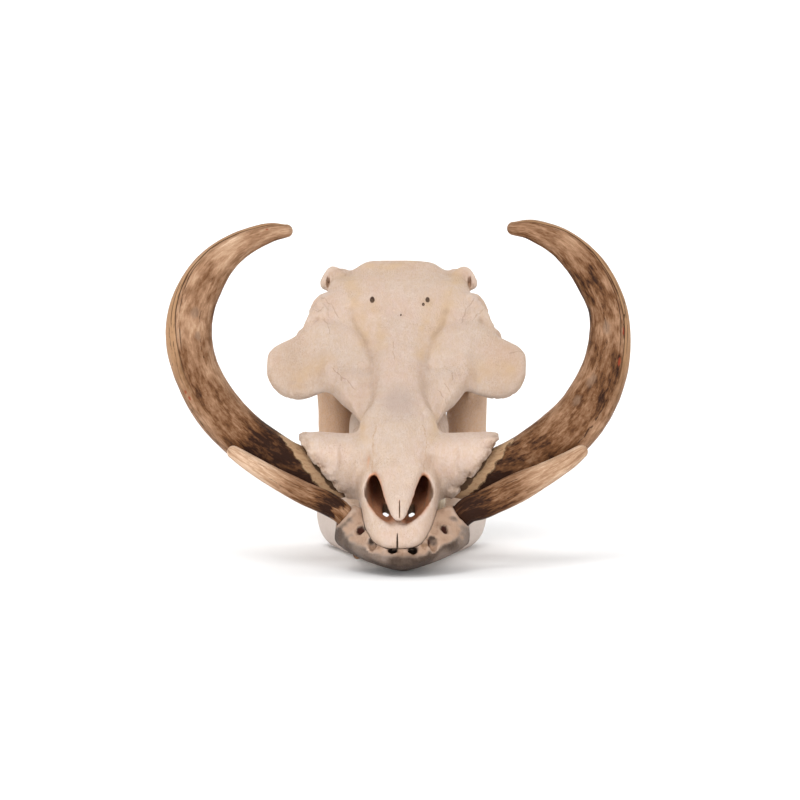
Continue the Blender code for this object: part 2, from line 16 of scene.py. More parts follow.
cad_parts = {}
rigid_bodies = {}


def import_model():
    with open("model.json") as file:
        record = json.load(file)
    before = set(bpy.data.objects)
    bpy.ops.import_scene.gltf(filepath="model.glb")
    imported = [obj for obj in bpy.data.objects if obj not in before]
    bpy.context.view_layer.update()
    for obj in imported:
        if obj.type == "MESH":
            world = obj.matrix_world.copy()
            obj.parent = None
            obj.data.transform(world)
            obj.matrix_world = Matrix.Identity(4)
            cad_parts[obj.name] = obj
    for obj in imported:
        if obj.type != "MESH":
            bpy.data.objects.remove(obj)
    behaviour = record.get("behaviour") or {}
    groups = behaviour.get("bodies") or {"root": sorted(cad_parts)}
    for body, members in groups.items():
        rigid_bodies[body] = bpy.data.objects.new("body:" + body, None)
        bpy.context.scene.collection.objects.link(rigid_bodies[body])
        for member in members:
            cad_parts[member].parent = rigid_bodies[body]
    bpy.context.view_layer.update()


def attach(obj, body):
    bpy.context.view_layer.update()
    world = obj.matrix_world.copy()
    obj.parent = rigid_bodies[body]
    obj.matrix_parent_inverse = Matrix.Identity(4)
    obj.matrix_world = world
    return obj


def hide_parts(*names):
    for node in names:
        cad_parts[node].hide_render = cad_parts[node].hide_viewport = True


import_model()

bl_info = {
    "name": "Warthog Skull",
    "version": (1, 0, 0),
    "blender": (4, 5, 0),
    "location": "View3D > Sidebar > Skull",
    "description": "Builds a detailed warthog skull with its jaw, tusks and cheek teeth",
    "category": "Add Mesh",
}

MM = 0.001
UP = np.array([0.0, 0.0, 1.0])
BACKWARDS = np.array([0.0, 1.0, 0.0])
PALATE_TILT = math.radians(14.5)
SNOUT_HEIGHT = 24.0
JAW_SIDE_SHIFT = 3.0
LEFT_CHEEK_SHORTER = 3.5
FOOT_HEIGHT = 1.0
ORIGIN = np.array([0.0, 168.0, FOOT_HEIGHT])
GAP = 0.45
JAW_CLEARANCE = 0.6
CLEARANCE_TRIANGLES = 9000
MELT_STEP = 2.0
SNOUT_MELT_STEP = 2.2
GOLDEN_TURN = 2.39996
CELL_KEYS = np.array([73856093, 19349663, 83492791])
FAR = 99.0


# Shapes

def smooth_rows(rows, count):
    """Rows of numbers read from one smooth curve through the given rows, evenly by row."""
    rows = np.asarray(rows, float)
    before = 2 * rows[0] - rows[1]
    after = 2 * rows[-1] - rows[-2]
    knots = np.vstack([before, rows, after])
    places = np.linspace(0, len(rows) - 1, count)
    start = np.minimum(places.astype(int), len(rows) - 2)
    t = (places - start)[:, None]
    p0, p1, p2, p3 = (knots[start + k] for k in range(4))
    return 0.5 * (
        2 * p1
        + (p2 - p0) * t
        + (2 * p0 - 5 * p1 + 4 * p2 - p3) * t**2
        + (3 * p1 - p0 - 3 * p2 + p3) * t**3
    )


def superellipse(count, power, under=None):
    """Unit points round a superellipse: 2 is an ellipse, more is squarer, and less is more pointed.

    The lower half can have its own power.
    """
    angle = np.linspace(0, 2 * math.pi, count, endpoint=False)
    c, s = np.cos(angle), np.sin(angle)
    bend = 2 / np.where(s < 0, under or power, power)
    return np.stack([np.sign(c) * np.abs(c) ** bend, np.sign(s) * np.abs(s) ** bend], axis=1)


def skin(rings):
    """A closed mesh over equal rings of points, with a point closing each end."""
    rings = np.asarray(rings, float)
    stations, around = rings.shape[:2]
    points = np.vstack([rings.reshape(-1, 3), rings[0].mean(0), rings[-1].mean(0)])
    first, last = stations * around, stations * around + 1
    faces = []
    for i in range(around):
        j = (i + 1) % around
        faces.append((first, j, i))
        faces.append((last, (stations - 1) * around + i, (stations - 1) * around + j))
        for s in range(stations - 1):
            a, b = s * around, (s + 1) * around
            faces.append((a + i, a + j, b + j, b + i))
    return points, faces


def slab(rows, axis, power=2.4, under=None, count=40, around=40):
    """A loft of flat sections across one axis.

    Each row is: place along the axis, low and high on the first other axis, low and high on the second.
    """
    rings = []
    unit = superellipse(around, power, under)
    others = [k for k in range(3) if k != axis]
    for place, low1, high1, low2, high2 in smooth_rows(rows, count):
        ring = np.zeros((around, 3))
        ring[:, axis] = place
        ring[:, others[0]] = (low1 + high1) / 2 + (high1 - low1) / 2 * unit[:, 0]
        ring[:, others[1]] = (low2 + high2) / 2 + (high2 - low2) / 2 * unit[:, 1]
        rings.append(ring)
    return skin(rings)


def across_snout(rows, **how):
    """A loft along b, symmetric in x. Each row is: b, half width, low h, high h."""
    return slab([(b, -w, w, low, high) for b, w, low, high in rows], axis=1, **how)


def sweep_rings(rows, power, count, around, up):
    rows = smooth_rows(rows, count)
    path, wide, high = rows[:, :3], rows[:, 3], rows[:, 4]
    along = np.gradient(path, axis=0)
    along /= np.linalg.norm(along, axis=1)[:, None]
    side = np.cross(along, up)
    side /= np.linalg.norm(side, axis=1)[:, None]
    over = np.cross(side, along)
    unit = superellipse(around, power)
    return np.array([
        path[k] + unit[:, :1] * wide[k] * side[k] + unit[:, 1:] * high[k] * over[k]
        for k in range(count)
    ])


def sweep(rows, power=2.0, count=32, around=24, up=UP):
    """A tube along a smooth path. Each row is: x, y, z, half width sideways, half height."""
    return skin(sweep_rings(rows, power, count, around, up))


def leaf(rows, power=2.8, count=40, around=40):
    """A plate lofted along x. Each row is: x, low b, low h, high b, high h, half thickness."""
    unit = superellipse(around, power)
    rings = []
    for x, low_b, low_h, high_b, high_h, thick in smooth_rows(rows, count):
        low, high = np.array([low_b, low_h]), np.array([high_b, high_h])
        half = (high - low) / 2
        over = np.array([-half[1], half[0]]) / np.linalg.norm(half) * thick
        flat = (low + high) / 2 + unit[:, :1] * half + unit[:, 1:] * over
        rings.append(np.column_stack([np.full(around, x), flat]))
    return skin(rings)


def ball(centre, radii, around=24, count=16):
    """An ellipsoid with its axes along x, y and z."""
    unit = superellipse(around, 2.0)
    rings = []
    for a in np.linspace(0.08, math.pi - 0.08, count):
        ring = np.zeros((around, 3))
        ring[:, 0] = centre[0] + radii[0] * math.sin(a) * unit[:, 0]
        ring[:, 1] = centre[1] + radii[1] * math.sin(a) * unit[:, 1]
        ring[:, 2] = centre[2] + radii[2] * math.cos(a)
        rings.append(ring)
    return skin(rings)


def mirrored(shape):
    """The same shape on the other side of the skull."""
    points, faces = shape
    return points * (-1, 1, 1), [tuple(reversed(f)) for f in faces]


def both_sides(*shapes):
    return [s for shape in shapes for s in (shape, mirrored(shape))]


def shifted(shape, side):
    points, faces = shape
    return points + (side, 0, 0), faces


def mesh_object(name, shapes):
    """One object holding every given shape, with all faces pointing out."""
    work = bmesh.new()
    for points, faces in shapes:
        verts = [work.verts.new(Vector(p) * MM) for p in points]
        made = [work.faces.new([verts[k] for k in face]) for face in faces]
        bmesh.ops.recalc_face_normals(work, faces=made)
    mesh = bpy.data.meshes.new(name)
    work.to_mesh(mesh)
    work.free()
    made = bpy.data.objects.new(name, mesh)
    bpy.context.scene.collection.objects.link(made)
    return made


def settle(obj):
    """Applies every modifier on an object."""
    graph = bpy.context.evaluated_depsgraph_get()
    graph.update()
    mesh = bpy.data.meshes.new_from_object(obj.evaluated_get(graph))
    obj.modifiers.clear()
    old = obj.data
    obj.data = mesh
    bpy.data.meshes.remove(old)
    return obj


def fuse(obj, step, smooth_rounds):
    """Melts overlapping closed shapes into one skin and rounds the joins."""
    melt = obj.modifiers.new("melt", "REMESH")
    melt.mode = "VOXEL"
    melt.voxel_size = step * MM
    if smooth_rounds:
        rounding = obj.modifiers.new("rounding", "SMOOTH")
        rounding.factor = 0.5
        rounding.iterations = smooth_rounds
    return settle(obj)


def combine(obj, other, operation):
    """Cuts another closed mesh out of this one, or adds it, and removes the other."""
    carve = obj.modifiers.new("carve", "BOOLEAN")
    carve.operation = operation
    carve.solver = "EXACT"
    carve.use_self = operation == "UNION"
    carve.object = other
    settle(obj)
    bpy.data.objects.remove(other)
    return obj


def cut(obj, shapes):
    return combine(obj, mesh_object("cutter", shapes), "DIFFERENCE")


def points_of(obj):
    """The vertices of a mesh, in millimetres."""
    co = np.empty(len(obj.data.vertices) * 3)
    obj.data.vertices.foreach_get("co", co)
    return co.reshape(-1, 3) / MM


def move_points(obj, points):
    obj.data.vertices.foreach_set("co", (points * MM).ravel())
    obj.data.update()


def normals_of(obj):
    normals = np.empty(len(obj.data.vertices) * 3)
    obj.data.vertex_normals.foreach_get("vector", normals)
    return normals.reshape(-1, 3)


def thin_out(obj, triangles):
    """Lowers a mesh to about this many triangles."""
    obj.data.calc_loop_triangles()
    fewer = obj.modifiers.new("fewer", "DECIMATE")
    fewer.ratio = min(1.0, triangles / len(obj.data.loop_triangles))
    return settle(obj)


def grown(obj, amount):
    """A lighter copy of a mesh with its skin pushed out."""
    copy = bpy.data.objects.new("space", obj.data.copy())
    bpy.context.scene.collection.objects.link(copy)
    thin_out(copy, CLEARANCE_TRIANGLES)
    move_points(copy, points_of(copy) + normals_of(copy) * amount)
    return copy


def keep_largest(obj):
    """Removes every loose island but the one with the most vertices."""
    work = bmesh.new()
    work.from_mesh(obj.data)
    left = set(work.verts)
    islands = []
    while left:
        stack = [left.pop()]
        island = set(stack)
        while stack:
            for edge in stack.pop().link_edges:
                for v in edge.verts:
                    if v in left:
                        left.remove(v)
                        island.add(v)
                        stack.append(v)
        islands.append(island)
    islands.sort(key=len)
    small = [v for island in islands[:-1] for v in island]
    bmesh.ops.delete(work, geom=small, context="VERTS")
    work.to_mesh(obj.data)
    work.free()


def to_table(points):
    """From the cranium's own frame to where it rests on the jaw."""
    c, s = math.cos(PALATE_TILT), math.sin(PALATE_TILT)
    x, b, h = points.T
    return np.stack([x, b * c - h * s, SNOUT_HEIGHT + b * s + h * c], axis=1)


def to_palate(points):
    """From the table back to the cranium's own frame."""
    c, s = math.cos(PALATE_TILT), math.sin(PALATE_TILT)
    x, y, z = points.T
    z = z - SNOUT_HEIGHT
    return np.stack([x, y * c + z * s, z * c - y * s], axis=1)


def off_path(x, b, path):
    """How far each point lies from a path, seen from above."""
    best = np.full(len(x), 1e9)
    for (x0, b0), (x1, b1) in zip(path, path[1:]):
        run = np.array([x1 - x0, b1 - b0], float)
        t = np.clip(((x - x0) * run[0] + (b - b0) * run[1]) / (run @ run), 0, 1)
        best = np.minimum(best, np.hypot(x - x0 - t * run[0], b - b0 - t * run[1]))
    return best


def rise(value, low, high):
    """0 below low, 1 above high, and smooth between."""
    t = np.clip((value - low) / (high - low), 0, 1)
    return t * t * (3 - 2 * t)


def blotches(points, size, seed):
    """Smooth random values from 0 to 1 over space, in blobs of about the given size."""
    cells = points / size
    low = np.floor(cells).astype(np.int64)
    t = cells - low
    t = t * t * (3 - 2 * t)
    total = np.zeros(len(points))
    for corner in range(8):
        offset = np.array([corner & 1, corner >> 1 & 1, corner >> 2 & 1])
        key = (low + offset) @ CELL_KEYS + seed * 101390
        value = np.sin(key % 65521 * 12.9898) * 43758.5453 % 1
        total += np.prod(np.where(offset, t, 1 - t), axis=1) * value
    return total


# Cranium

NASAL_HOLLOW = (
    (6, 3, 15, 22), (14, 10, 13.5, 34), (25, 18, 11.5, 44), (40, 24, 8, 52), (52, 27, 5, 56),
    (66, 26, 5, 48), (85, 25, 5, 46), (110, 24, 6, 48), (150, 20, 8, 46), (200, 15, 12, 40),
    (250, 13, 12, 30), (275, 12, 4, 28),
)


def snout_body():
    return across_snout(
        [
            (1, 9, 1, 7), (5, 15.5, -1, 10), (15, 22, -3, 17), (30, 27, -3, 26),
            (48, 30.5, -3, 37), (62, 32.5, -3, 46), (80, 33.5, -4, 54), (100, 34.5, -5, 61),
            (120, 34.5, -5, 66), (140, 34, -6, 68), (160, 35, -6, 66), (180, 33, -5, 62),
        ],
        power=2.8, count=90, around=72,
    )


def upper_jaw():
    """The body that holds the cheek teeth, narrower above."""
    return across_snout(
        [
            (130, 31, -5, 60), (160, 37, -7, 68), (190, 42, -8, 70), (225, 43, -8, 72),
            (250, 38, -6, 74), (275, 30, 14, 76), (300, 26, 34, 80),
        ],
        power=1.9, under=2.8, count=90, around=72,
    )


def nasal_bridge():
    return across_snout(
        [
            (12, 4.5, 19.5, 25), (20, 7.5, 21, 30.5), (30, 10.5, 24, 36.5), (48, 15.5, 31, 46),
            (62, 20, 36, 53), (80, 25.5, 40, 60), (100, 31, 43, 66.5), (120, 33.5, 46, 72),
            (140, 30, 50, 77.5), (160, 25, 56, 83), (180, 23.5, 62, 89), (200, 24.5, 68, 95),
            (230, 28, 76, 105), (260, 32, 84, 114.5), (285, 34, 92, 121),
        ],
        power=2.3, count=90, around=72,
    )


def face_plate():
    return across_snout(
        [
            (135, 28, 46, 62), (150, 33, 50, 68), (165, 40, 54, 75), (180, 50, 58, 82),
            (200, 59, 62, 90), (225, 64, 68, 99), (250, 70, 76, 109), (270, 76, 88, 117.5),
            (290, 71, 100, 127), (310, 65.5, 110, 135), (335, 61, 116, 142), (352, 52, 120, 145),
        ],
        power=3.4, count=80, around=96,
    )


def cheek_plate():
    """The broad cheek bone that spreads sideways in front of and below the eye."""
    return leaf(
        [
            (24, 168, 56, 250, 98, 13), (44, 182, 62, 268, 108, 13), (60, 196, 72, 276, 112, 11),
            (72, 206, 65, 272, 110, 10), (85, 210, 60, 262, 104, 10), (98, 212, 61, 248, 100, 10.5),
            (108, 218, 66, 240, 97, 10), (114, 223, 76, 235, 92, 7),
        ],
        count=70, around=56,
    )


def braincase():
    return across_snout(
        [
            (245, 28, 50, 98), (275, 35, 46, 116), (300, 39, 44, 126), (325, 41, 44, 132),
            (345, 40, 48, 136), (354, 34, 56, 138),
        ],
        power=2.3,
    )


def occiput():
    """The back wall, lofted up h: each row is h, half width, front b, back b."""
    rows = [
        (46, 30, 318, 346), (62, 38, 315, 351), (82, 40, 315, 349), (104, 44, 318, 346),
        (126, 52, 324, 350), (140, 57, 334, 357), (145.5, 50, 345, 359.5),
    ]
    return slab([(h, -w, w, front, back) for h, w, front, back in rows], axis=2, power=2.8)


def crest_wing():
    """The ear-like corner of the neck crest."""
    return leaf(
        [
            (38, 330, 108, 354, 137, 7), (50, 336, 113, 348, 139, 5.5), (57, 335, 117, 345, 140, 4.5),
            (62, 334, 120, 341, 140, 3.5),
        ],
    )


def wing_back():
    return ball((62.5, 344, 131), (5.5, 4, 9.5))


def wing_rim():
    return sweep(
        [
            (50, 344, 140, 4, 4), (58, 340, 142.5, 3.2, 3.2), (63, 337, 141, 2.9, 3),
            (66, 335, 136.5, 3, 3.2), (68.2, 333.5, 131.5, 3.4, 3.6), (68.4, 333, 127.5, 3, 3.2),
            (64, 334, 124, 3, 3),
        ],
        up=BACKWARDS,
    )


def cheek_arch():
    return sweep(
        [
            (96, 236, 79, 8, 14), (100, 244, 77, 8.5, 17), (98, 256, 75, 8, 16.5),
            (93, 272, 76, 6.5, 14.5), (86, 292, 81, 6, 12), (78, 312, 90, 6.5, 12),
            (64, 328, 98, 8, 13), (48, 336, 100, 9, 14),
        ],
        power=2.5, count=64, around=32,
    )


def eye_rim():
    """The rim round the eye socket, open at the back."""
    return sweep(
        [
            (58, 302, 125, 5.5, 5.5), (66, 294, 126, 4.5, 4.5), (74, 281, 118, 4.5, 4.5),
            (79, 268, 109, 5, 5), (84, 259, 98, 5, 5), (88, 260, 88, 5, 5), (89, 270, 84, 5, 6),
            (87, 284, 84, 5, 6), (84, 295, 87, 4, 5), (81, 300, 93, 2.5, 3),
        ],
        count=48, up=np.array([1.0, 0.0, 0.3]),
    )


def eye_spur():
    return sweep([(60, 304, 122, 6, 8), (68, 303, 122, 5, 7), (75, 303, 114, 3.5, 5), (79, 302, 106, 2, 3)])


def brow():
    return ball((66, 286, 114), (10.5, 17, 9.5), around=32, count=24)


def eye_hollow():
    return ball((98, 287, 101), (42, 16, 14.5), around=40, count=28)


def canine_sheath():
    """The bony sleeve over the root of the upper tusk, lofted out along x."""
    rows = [
        (22, 82, 132, 8, 58), (34, 78, 130, 9, 61), (46, 75, 126, 9, 62), (58, 74, 123, 12, 63.5),
        (70, 74, 119, 15, 65), (80, 76, 114, 20, 65.5), (88, 80, 107, 34, 64),
    ]
    return slab([(x, b0, b1, h0, h1) for x, b0, b1, h0, h1 in rows], axis=0, power=2.8)


SHEATH_MOUTH_LOW = np.array([38.0, 4.0])
SHEATH_MOUTH_HIGH = np.array([88.0, 70.0])


def sheath_trim():
    """Cuts the sleeve's mouth off on the slant, so that its upper lip reaches furthest."""
    along = SHEATH_MOUTH_HIGH - SHEATH_MOUTH_LOW
    corner = np.array([along[1], -along[0]]) / np.linalg.norm(along) * 80
    outline = [SHEATH_MOUTH_LOW - along * 0.3, SHEATH_MOUTH_HIGH + along * 0.3]
    outline += [outline[1] + corner, outline[0] + corner]
    return skin([[(x, b, h) for x, h in outline] for b in (50, 150)])


def beyond_sheath(points):
    """How far points lie outside the sleeve's mouth, in the palate's frame."""
    along = SHEATH_MOUTH_HIGH - SHEATH_MOUTH_LOW
    along = along / np.linalg.norm(along)
    x, h = np.abs(points[:, 0]) - SHEATH_MOUTH_LOW[0], points[:, 2] - SHEATH_MOUTH_LOW[1]
    return x * along[1] - h * along[0]


def nose_ridge():
    """The low ridge along the floor of the nose."""
    return sweep([(0, 12, 13, 3, 2.5), (-1, 25, 13, 4, 4), (-1, 42, 11, 4.5, 6), (0, 70, 8, 4, 7)])


def skull_base():
    return [
        sweep([(0, 262, 42, 14, 12), (0, 300, 46, 14, 11), (0, 348, 52, 14, 10)]),
        *both_sides(
            sweep([(13, 246, 4, 4, 10), (13, 262, 10, 3, 14), (14, 278, 22, 3, 14), (17, 292, 36, 4, 12)]),
            ball((27, 316, 44), (9, 13, 15)),
            sweep([(40, 338, 76, 10, 9), (39, 337, 54, 6, 8), (36, 334, 34, 4, 5.5), (34, 331, 16, 2.5, 3)],
                  up=BACKWARDS),
            ball((17, 351, 61), (11, 11, 14)),
            sweep([(36, 308, 84, 8, 9), (58, 304, 83, 10, 9), (76, 304, 84, 10, 9), (92, 306, 86, 8, 8)],
                  power=2.4),
        ),
    ]


def cranium_hollows():
    """Everything that is open in the cranium, but for the nose and the sockets."""
    return [
        *both_sides(eye_hollow(), ball((10.7, 79, 2), (2.8, 27, 12))),
        sweep([(0, 236, 14, 11, 9), (0, 262, 16, 11, 12), (0, 290, 14, 11, 16), (0, 310, 6, 12, 18)]),
        sweep([(0, 288, 90, 5, 5), (0, 298, 90, 22, 17), (0, 318, 87, 27, 21), (0, 332, 82, 16, 14),
               (0, 344, 76, 11, 10), (0, 375, 72, 14, 13)]),
    ]


def fine_cuts():
    """Slits too narrow for the fused grid: the lip's, the nasal tip's and the crest corners'."""
    return [
        shifted(sweep([(0, -6, 3, 0.8, 12), (0, 3, 5, 0.75, 9), (0, 9, 9, 0.45, 4)], power=3), -1.2),
        sweep([(0.6, 9, 25, 0.5, 3.5), (0.6, 16, 28, 0.5, 4), (0.6, 25, 32, 0.3, 3.5)], power=3),
        *both_sides(
            sweep([(63.4, 334, 134, 1.4, 4.5), (64.0, 329, 132, 1.9, 6), (64.6, 321, 129, 1.9, 6)])
        ),
        sweep([(-23.5, 297, 107, 1.6, 3.2), (-23.5, 286, 133, 2.2, 4.4)], up=BACKWARDS),
        sweep([(25.5, 298, 107, 1.5, 2.8), (25.5, 287, 133, 1.9, 3.6)], up=BACKWARDS),
        sweep([(21.7, 291, 109, 0.9, 1.4), (21.7, 282, 129, 1.1, 1.8)], up=BACKWARDS),
        sweep([(1.8, 278, 105, 0.6, 0.9), (1.8, 269, 123, 0.6, 1)], up=BACKWARDS),
    ]


FACE_GROOVES = (
    (5.0, 2.6, ((42, 280), (38, 266), (30, 247), (26, 226), (23, 194), (23, 164), (27, 150))),
    (12.0, 3.0, ((50, 262), (46, 235), (42, 212))),
    (6.0, 3.4, ((31, 206), (30, 188), (33, 168), (37, 150))),
)
FINE_GROOVES = (
    (2.4, 0.4, ((43, 284), (39, 266), (31, 247), (26, 226), (24, 200))),
    (1.8, 0.8, ((66, 296), (71, 284), (66, 272), (60, 262))),
    (1.6, 0.7, ((75, 287), (70, 279), (71, 270), (77, 263))),
    (1.6, 0.6, ((72, 293), (66, 288), (62, 279), (58, 266))),
    (1.6, 0.6, ((44, 205), (49, 200), (50, 192), (45, 184), (41, 172))),
    (1.6, 0.5, ((49, 210), (54, 203), (54, 195))),
    (1.5, 0.5, ((39, 200), (41, 188), (38, 176), (33, 160))),
    (1.4, 0.5, ((19, 66), (21.5, 78), (22.5, 96), (21, 122), (17, 150))),
)


def carve_cranium(shell):
    """Grooves, wrinkles, ridges and pits on the fused cranium, in the palate's frame."""
    points = points_of(shell)
    normals = normals_of(shell)
    x, b, h = points.T
    side = np.exp(-(((np.abs(x) - 44) / 10) ** 2))
    points[:, 2] -= 8 * side * np.clip((b - 318) / 30, 0, 1) * np.clip((h - 112) / 20, 0, 1)
    upper = np.clip(normals[:, 2] * 2, 0, 1)
    for width, depth, path in FACE_GROOVES:
        points[:, 2] -= depth * upper * np.exp(-((off_path(np.abs(x), b, path) / width) ** 2))
    drift = (blotches(points, 9, 3) - 0.5) * 3
    for width, depth, path in FINE_GROOVES:
        line = np.exp(-((off_path(np.abs(x) + drift, b, path) / width) ** 2))
        points -= normals * (1.5 * depth * upper * line)[:, None]
    front = np.clip(-normals[:, 1] * 2, 0, 1) * rise(b, 62, 72) * rise(-b, -112, -96)
    reach = np.abs(x)
    ridge = np.exp(-(((reach - 50.5) / 2.2) ** 2)) - 0.8 * np.exp(-(((reach - 46) / 3) ** 2))
    points -= BACKWARDS * (1.6 * front * ridge * rise(h, 34, 48))[:, None]
    edge = rise(beyond_sheath(points), -16, -2) * rise(b, 60, 70) * rise(-b, -140, -125)
    edge = edge * rise(reach, 34, 40)
    pits = rise(blotches(points, 3.2, 5) + 0.5 * blotches(points, 1.9, 6), 0.75, 1.1)
    points -= normals * (1.5 * edge * pits)[:, None]
    points -= normals * (3.2 * edge * rise(blotches(points, 9, 12), 0.35, 0.75))[:, None]
    points += normals * ((blotches(points, 26, 8) - 0.5) * 1.1)[:, None]
    points += normals * ((blotches(points, 8, 9) - 0.5) * 0.7)[:, None]
    muscle = rise(reach, 60, 74) * rise(-h, -88, -70) * rise(b, 180, 200)
    points -= normals * (0.7 * muscle * rise(blotches(points * (1, 1, 0.35), 2.6, 11), 0.5, 0.8))[:, None]
    move_points(shell, points)


def make_cranium(step):
    snout = [snout_body(), upper_jaw(), face_plate(), *both_sides(canine_sheath())]
    shell = mesh_object("skull_bone", snout)
    fuse(shell, SNOUT_MELT_STEP, 0)
    cut(shell, [across_snout(NASAL_HOLLOW, power=2.2, count=80, around=72)])
    cut(shell, both_sides(sheath_trim()))
    rest = [
        nasal_bridge(), braincase(), occiput(), nose_ridge(), *skull_base(),
        shifted(cheek_plate(), -LEFT_CHEEK_SHORTER), mirrored(cheek_plate()),
        *both_sides(
            crest_wing(), wing_back(), wing_rim(), cheek_arch(), eye_rim(), eye_spur(), brow(),
        ),
    ]
    combine(shell, mesh_object("rest", rest), "UNION")
    fuse(shell, MELT_STEP, 4)
    cut(shell, cranium_hollows())
    fuse(shell, step, 2)
    keep_largest(shell)
    carve_cranium(shell)
    move_points(shell, to_table(points_of(shell)))
    return shell


# Jaw

def jaw_front():
    return across_snout(
        [
            (1, 10, 15, 20), (4, 18, 10, 23), (10, 27, 8, 30), (22, 41, 5, 40), (42, 54, 2, 51),
            (60, 54, 0, 52), (80, 48, 0, 47), (100, 42, 0, 43), (120, 36, 3, 42),
        ],
        power=3.0, under=1.35, count=64, around=72,
    )


def jaw_trough():
    """The spoon-shaped hollow between the front sockets, open to the throat behind."""
    return across_snout(
        [
            (8, 6, 22, 50), (16, 16, 22, 60), (30, 23, 24, 70), (60, 27, 27, 80), (90, 25, 26, 80),
            (105, 20, 16, 80), (120, 16, 6, 80), (140, 15, -20, 80),
        ],
        power=2.6, count=48, around=48,
    )


def jaw_body():
    rows = [
        (70, 8, 42, 14, 40), (95, 11, 44, 9, 40), (120, 14, 45, 6, 40), (145, 18, 48, 3.5, 40),
        (170, 20, 55, 1, 44), (200, 22, 64, -0.5, 50), (225, 25, 73, -0.5, 58), (245, 34, 76, 1, 75),
        (262, 42, 77, 6, 100), (275, 48, 77, 14, 100), (285, 52, 74, 30, 90),
    ]
    return slab(rows, axis=1, power=2.5, under=2.2, count=64, around=48)


def jaw_branch():
    rows = [
        (50, 44, 74, 228, 284), (75, 41, 74, 234, 287), (100, 39.5, 75, 240, 289),
        (125, 39.5, 76, 247, 291), (145, 39.5, 77, 256, 291), (160, 39.5, 79, 264, 290),
        (169, 41, 78, 271, 287),
    ]
    return slab([(z, x0, x1, y0, y1) for z, x0, x1, y0, y1 in rows], axis=2, power=1.8, count=56, around=48)


def jaw_spur():
    return sweep([(60, 262, 125, 5, 12), (60, 254, 145, 4, 9), (61, 250, 158, 3, 6), (61, 250, 166, 2, 4)],
                 up=BACKWARDS)


def jaw_tusk_socket():
    return sweep(
        [(18, 58, 26, 12, 12), (32, 50, 34, 14, 14), (42, 45, 43, 13.5, 12.5), (47, 43.5, 47, 12, 11)],
        power=2.3, up=BACKWARDS,
    )


def front_tooth_sockets():
    return [
        *both_sides(sweep([(9, 0, 25, 4.4, 3), (7, 14, 20, 4, 2.6), (6, 30, 16, 2.5, 1.6)])),
        *both_sides(ball((24, 12, 29), (4.2, 5, 8)), ball((34, 25, 41), (4.2, 4.6, 9))),
    ]


# The emptied front sockets, in the finished frame, with their sizes
JAW_SOCKETS = (
    (-29.6, -139.4, 36.0, 5.5), (35.1, -139.5, 36.8, 6.0), (22.2, -157.1, 27.9, 6.0),
    (-1.7, -163.7, 20.6, 5.0), (9.0, -161.0, 20.0, 5.0), (-18.0, -157.0, 27.0, 5.0),
)


def make_jaw(step, cranium):
    jaw = mesh_object(
        "jaw_bone", [jaw_front(), *both_sides(jaw_body(), jaw_branch(), jaw_spur(), jaw_tusk_socket())]
    )
    fuse(jaw, MELT_STEP, 5)
    cut(jaw, [jaw_trough(), *front_tooth_sockets()])
    fuse(jaw, step, 2)
    keep_largest(jaw)
    points = points_of(jaw) + (JAW_SIDE_SHIFT, 0, 0)
    move_points(jaw, points)
    normals = normals_of(jaw)
    x, y, z = points.T
    reach = np.abs(x - JAW_SIDE_SHIFT)
    points += normals * ((blotches(points, 24, 21) - 0.5) * 1.2)[:, None]
    rough = rise(-y, -62, -40) * rise(z, 14, 26)
    points += normals * (rough * (blotches(points, 4, 22) - 0.5) * 1.5)[:, None]
    muscle = rise(y, 215, 240) * rise(reach, 50, 62) * rise(-z, -120, -90)
    points -= normals * (0.9 * muscle * rise(blotches(points * (1, 0.5, 0.2), 3.2, 23), 0.45, 0.8))[:, None]
    move_points(jaw, points)
    combine(jaw, grown(cranium, JAW_CLEARANCE), "DIFFERENCE")
    keep_largest(jaw)
    points = points_of(jaw)
    points[:, 2] = np.maximum(points[:, 2], FOOT_HEIGHT)
    move_points(jaw, points)
    return jaw


# Tusks: rows from root to tip, each x, y, z, half width in the plane of the curve, half depth

UPPER_TUSK_LEFT = (
    (40, 92, 72, 14, 13), (60, 86, 74, 18, 15), (80, 82, 78, 20.5, 16), (98, 79, 85, 21.5, 16.5),
    (115, 77, 95, 22, 16.5), (133, 74, 109, 22.3, 16.5), (149, 72, 126, 22, 16.5),
    (161, 70, 146, 20.7, 16), (169, 68, 168, 18.8, 15.5), (172, 67, 191, 17.1, 15),
    (170, 67, 214, 15.7, 14), (161, 68, 235, 15, 13), (148, 70, 254, 13.7, 11.5),
    (131, 72, 269, 11.6, 9.5), (109, 75, 278, 8.6, 7.5), (94, 77, 279.5, 5.6, 5.5),
)
UPPER_TUSK_RIGHT = (
    (40, 92, 72, 14, 13), (60, 86, 74, 18, 15), (80, 82, 79, 20, 16), (96, 79, 86, 20.8, 16.5),
    (111, 77, 96, 20.9, 16.5), (129, 74, 111, 19.9, 16.5), (145, 72, 128, 19.4, 16.5),
    (158, 70, 147, 19.2, 16), (167, 68, 168, 18.8, 15.5), (171, 67, 190, 19, 15),
    (169, 67, 213, 18.6, 14), (160, 68, 235, 17, 13), (147, 70, 253, 14.1, 11.5),
    (128, 72, 267, 11.4, 9.5), (107, 75, 275.5, 8.4, 7.5), (92, 77, 277.5, 5.4, 5.5),
)
LOWER_TUSK_LEFT = (
    (34, 67, 15, 6, 6), (41, 54, 32, 7.5, 7.5), (54, 44, 50, 10.3, 8.5), (70, 44, 56.5, 11.3, 9),
    (96, 46, 69.6, 11.5, 9), (118, 48, 80.5, 9.3, 8), (136, 50, 90.5, 7.3, 7), (148, 51.5, 98.5, 5.4, 5),
)
